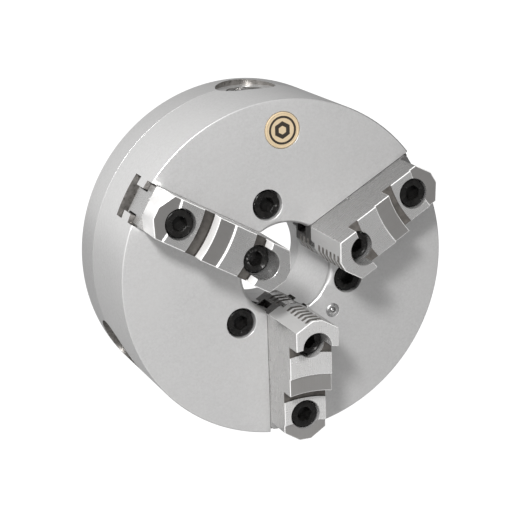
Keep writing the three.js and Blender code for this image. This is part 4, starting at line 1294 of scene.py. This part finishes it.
def in_a_painted_shade_recess(polygon):
    """The walls of a jaw slot, or of a spot face and its bearing, which get painted shade."""
    if math.hypot(polygon.center.x, polygon.center.z) > (OUTER_RADIUS - 0.5) * MM:
        return False
    for angle in JAW_ANGLES:
        out, across, depth = on_the_spoke(polygon.center / MM, angle)
        if out > 28 and abs(across) < SLOT_HALF + 0.1 and 40 < depth < BODY_DEPTH - 0.3:
            return True
    for angle in PINION_ANGLES:
        out, across, depth = on_the_spoke(polygon.center / MM, angle)
        from_the_axis = math.hypot(across, depth - PINION_DEPTH)
        straight_out = on_the_spoke(polygon.normal, angle)[0]
        if out > 60 and from_the_axis < SPOT_RADIUS + 0.1 and abs(straight_out) < 0.6:
            return True
    return False


# the recess walls of body and plate get light painted shade
for piece in (body, plate):
    for polygon in piece.data.polygons:
        polygon.material_index = 1 if in_a_painted_shade_recess(polygon) else 0

# %% [markdown]
# The chuck is shown on a pale ground, under one soft light from the upper left. Polished steel
# shows what it reflects, so the room is bright on the left and dims to the right.

# %% Camera
CAMERA_AZIMUTH = math.radians(-21.84)
CAMERA_HEIGHT = math.radians(15.72)
CAMERA_ROLL = math.radians(-1.885)
CAMERA_DISTANCE = 1.0216
AIM = Vector((0, -0.040, 0))
SENSOR = 36
LENS = 117.92

towards = Vector((
    math.sin(CAMERA_AZIMUTH) * math.cos(CAMERA_HEIGHT),
    -math.cos(CAMERA_AZIMUTH) * math.cos(CAMERA_HEIGHT),
    math.sin(CAMERA_HEIGHT),
))
level_right = Vector((math.cos(CAMERA_AZIMUTH), math.sin(CAMERA_AZIMUTH), 0))
level_up = towards.cross(level_right)
right = math.cos(CAMERA_ROLL) * level_right + math.sin(CAMERA_ROLL) * level_up
up = math.cos(CAMERA_ROLL) * level_up - math.sin(CAMERA_ROLL) * level_right
camera_data = bpy.data.cameras.new("camera")
camera_data.lens = LENS
camera_data.sensor_width = SENSOR
camera_data.shift_x = -0.0021
camera_data.shift_y = -0.0132
camera_data.clip_end = 20
camera = bpy.data.objects.new("camera", camera_data)
turn = Matrix((right, up, towards)).transposed().to_4x4()
camera.matrix_world = Matrix.Translation(AIM + towards * CAMERA_DISTANCE) @ turn
bpy.context.scene.collection.objects.link(camera)
bpy.context.scene.camera = camera

# %% Floor, lights and surroundings
bpy.ops.object.select_all(action="DESELECT")
bpy.ops.mesh.primitive_plane_add(size=12, location=(0, 0, -0.42))
floor = bpy.context.active_object
floor.name = "floor"
bpy.ops.object.transform_apply()
pale = Finish("pale_floor", Roughness=0.9)
pale_noise = pale.noise(500, detail=2, rough=0.55)
pale.set("Base Color", pale.mixed(pale_noise, grey(0.6), grey(0.64)))
# the camera sees the floor as lit paper; the steel reflects its true, dimmer tone
paper = pale.node("ShaderNodeEmission", Strength=1.1)
seen_floor = pale.node("ShaderNodeLightPath").outputs["Is Camera Ray"]
blend = pale.node("ShaderNodeMixShader")
for entry, socket in zip(blend.inputs, (seen_floor, pale.shader.outputs[0], paper.outputs[0])):
    plug(pale.tree, entry, socket)
plug(pale.tree, pale.tree.nodes["Material Output"].inputs["Surface"], blend.outputs[0])
floor.data.materials.append(pale.material)


key = bpy.data.lights.new("key_light", "AREA")
key.shape = "RECTANGLE"
key.size = key.size_y = 0.12
key.energy = 6.7
lamp = bpy.data.objects.new("key_light", key)
lamp.location = (-0.37, -0.64, 0.46)
lamp.rotation_euler = (AIM - lamp.location).to_track_quat("-Z", "Y").to_euler()
bpy.context.scene.collection.objects.link(lamp)

world = bpy.data.worlds.new("studio")
bpy.context.scene.world = world
world.use_nodes = True
tree = world.node_tree
background = tree.nodes["Background"]
direction = tree.nodes.new("ShaderNodeTexCoord").outputs["Generated"]
parts = tree.nodes.new("ShaderNodeSeparateXYZ")
tree.links.new(direction, parts.inputs[0])
side, front, height = (Amount(tree, parts.outputs[axis]) for axis in "XYZ")
glow = (0.44 - side * 0.5 + height * 0.04 + front * 0.05).larger(0.06)
path = tree.nodes.new("ShaderNodeLightPath")
seen = Amount(tree, path.outputs["Is Camera Ray"])
strength = seen * 1.15 + (1 - seen) * glow
plug(tree, background.inputs["Strength"], strength)
background.inputs["Color"].default_value = (1, 1, 1, 1)
bpy.context.scene.view_settings.view_transform = "Standard"
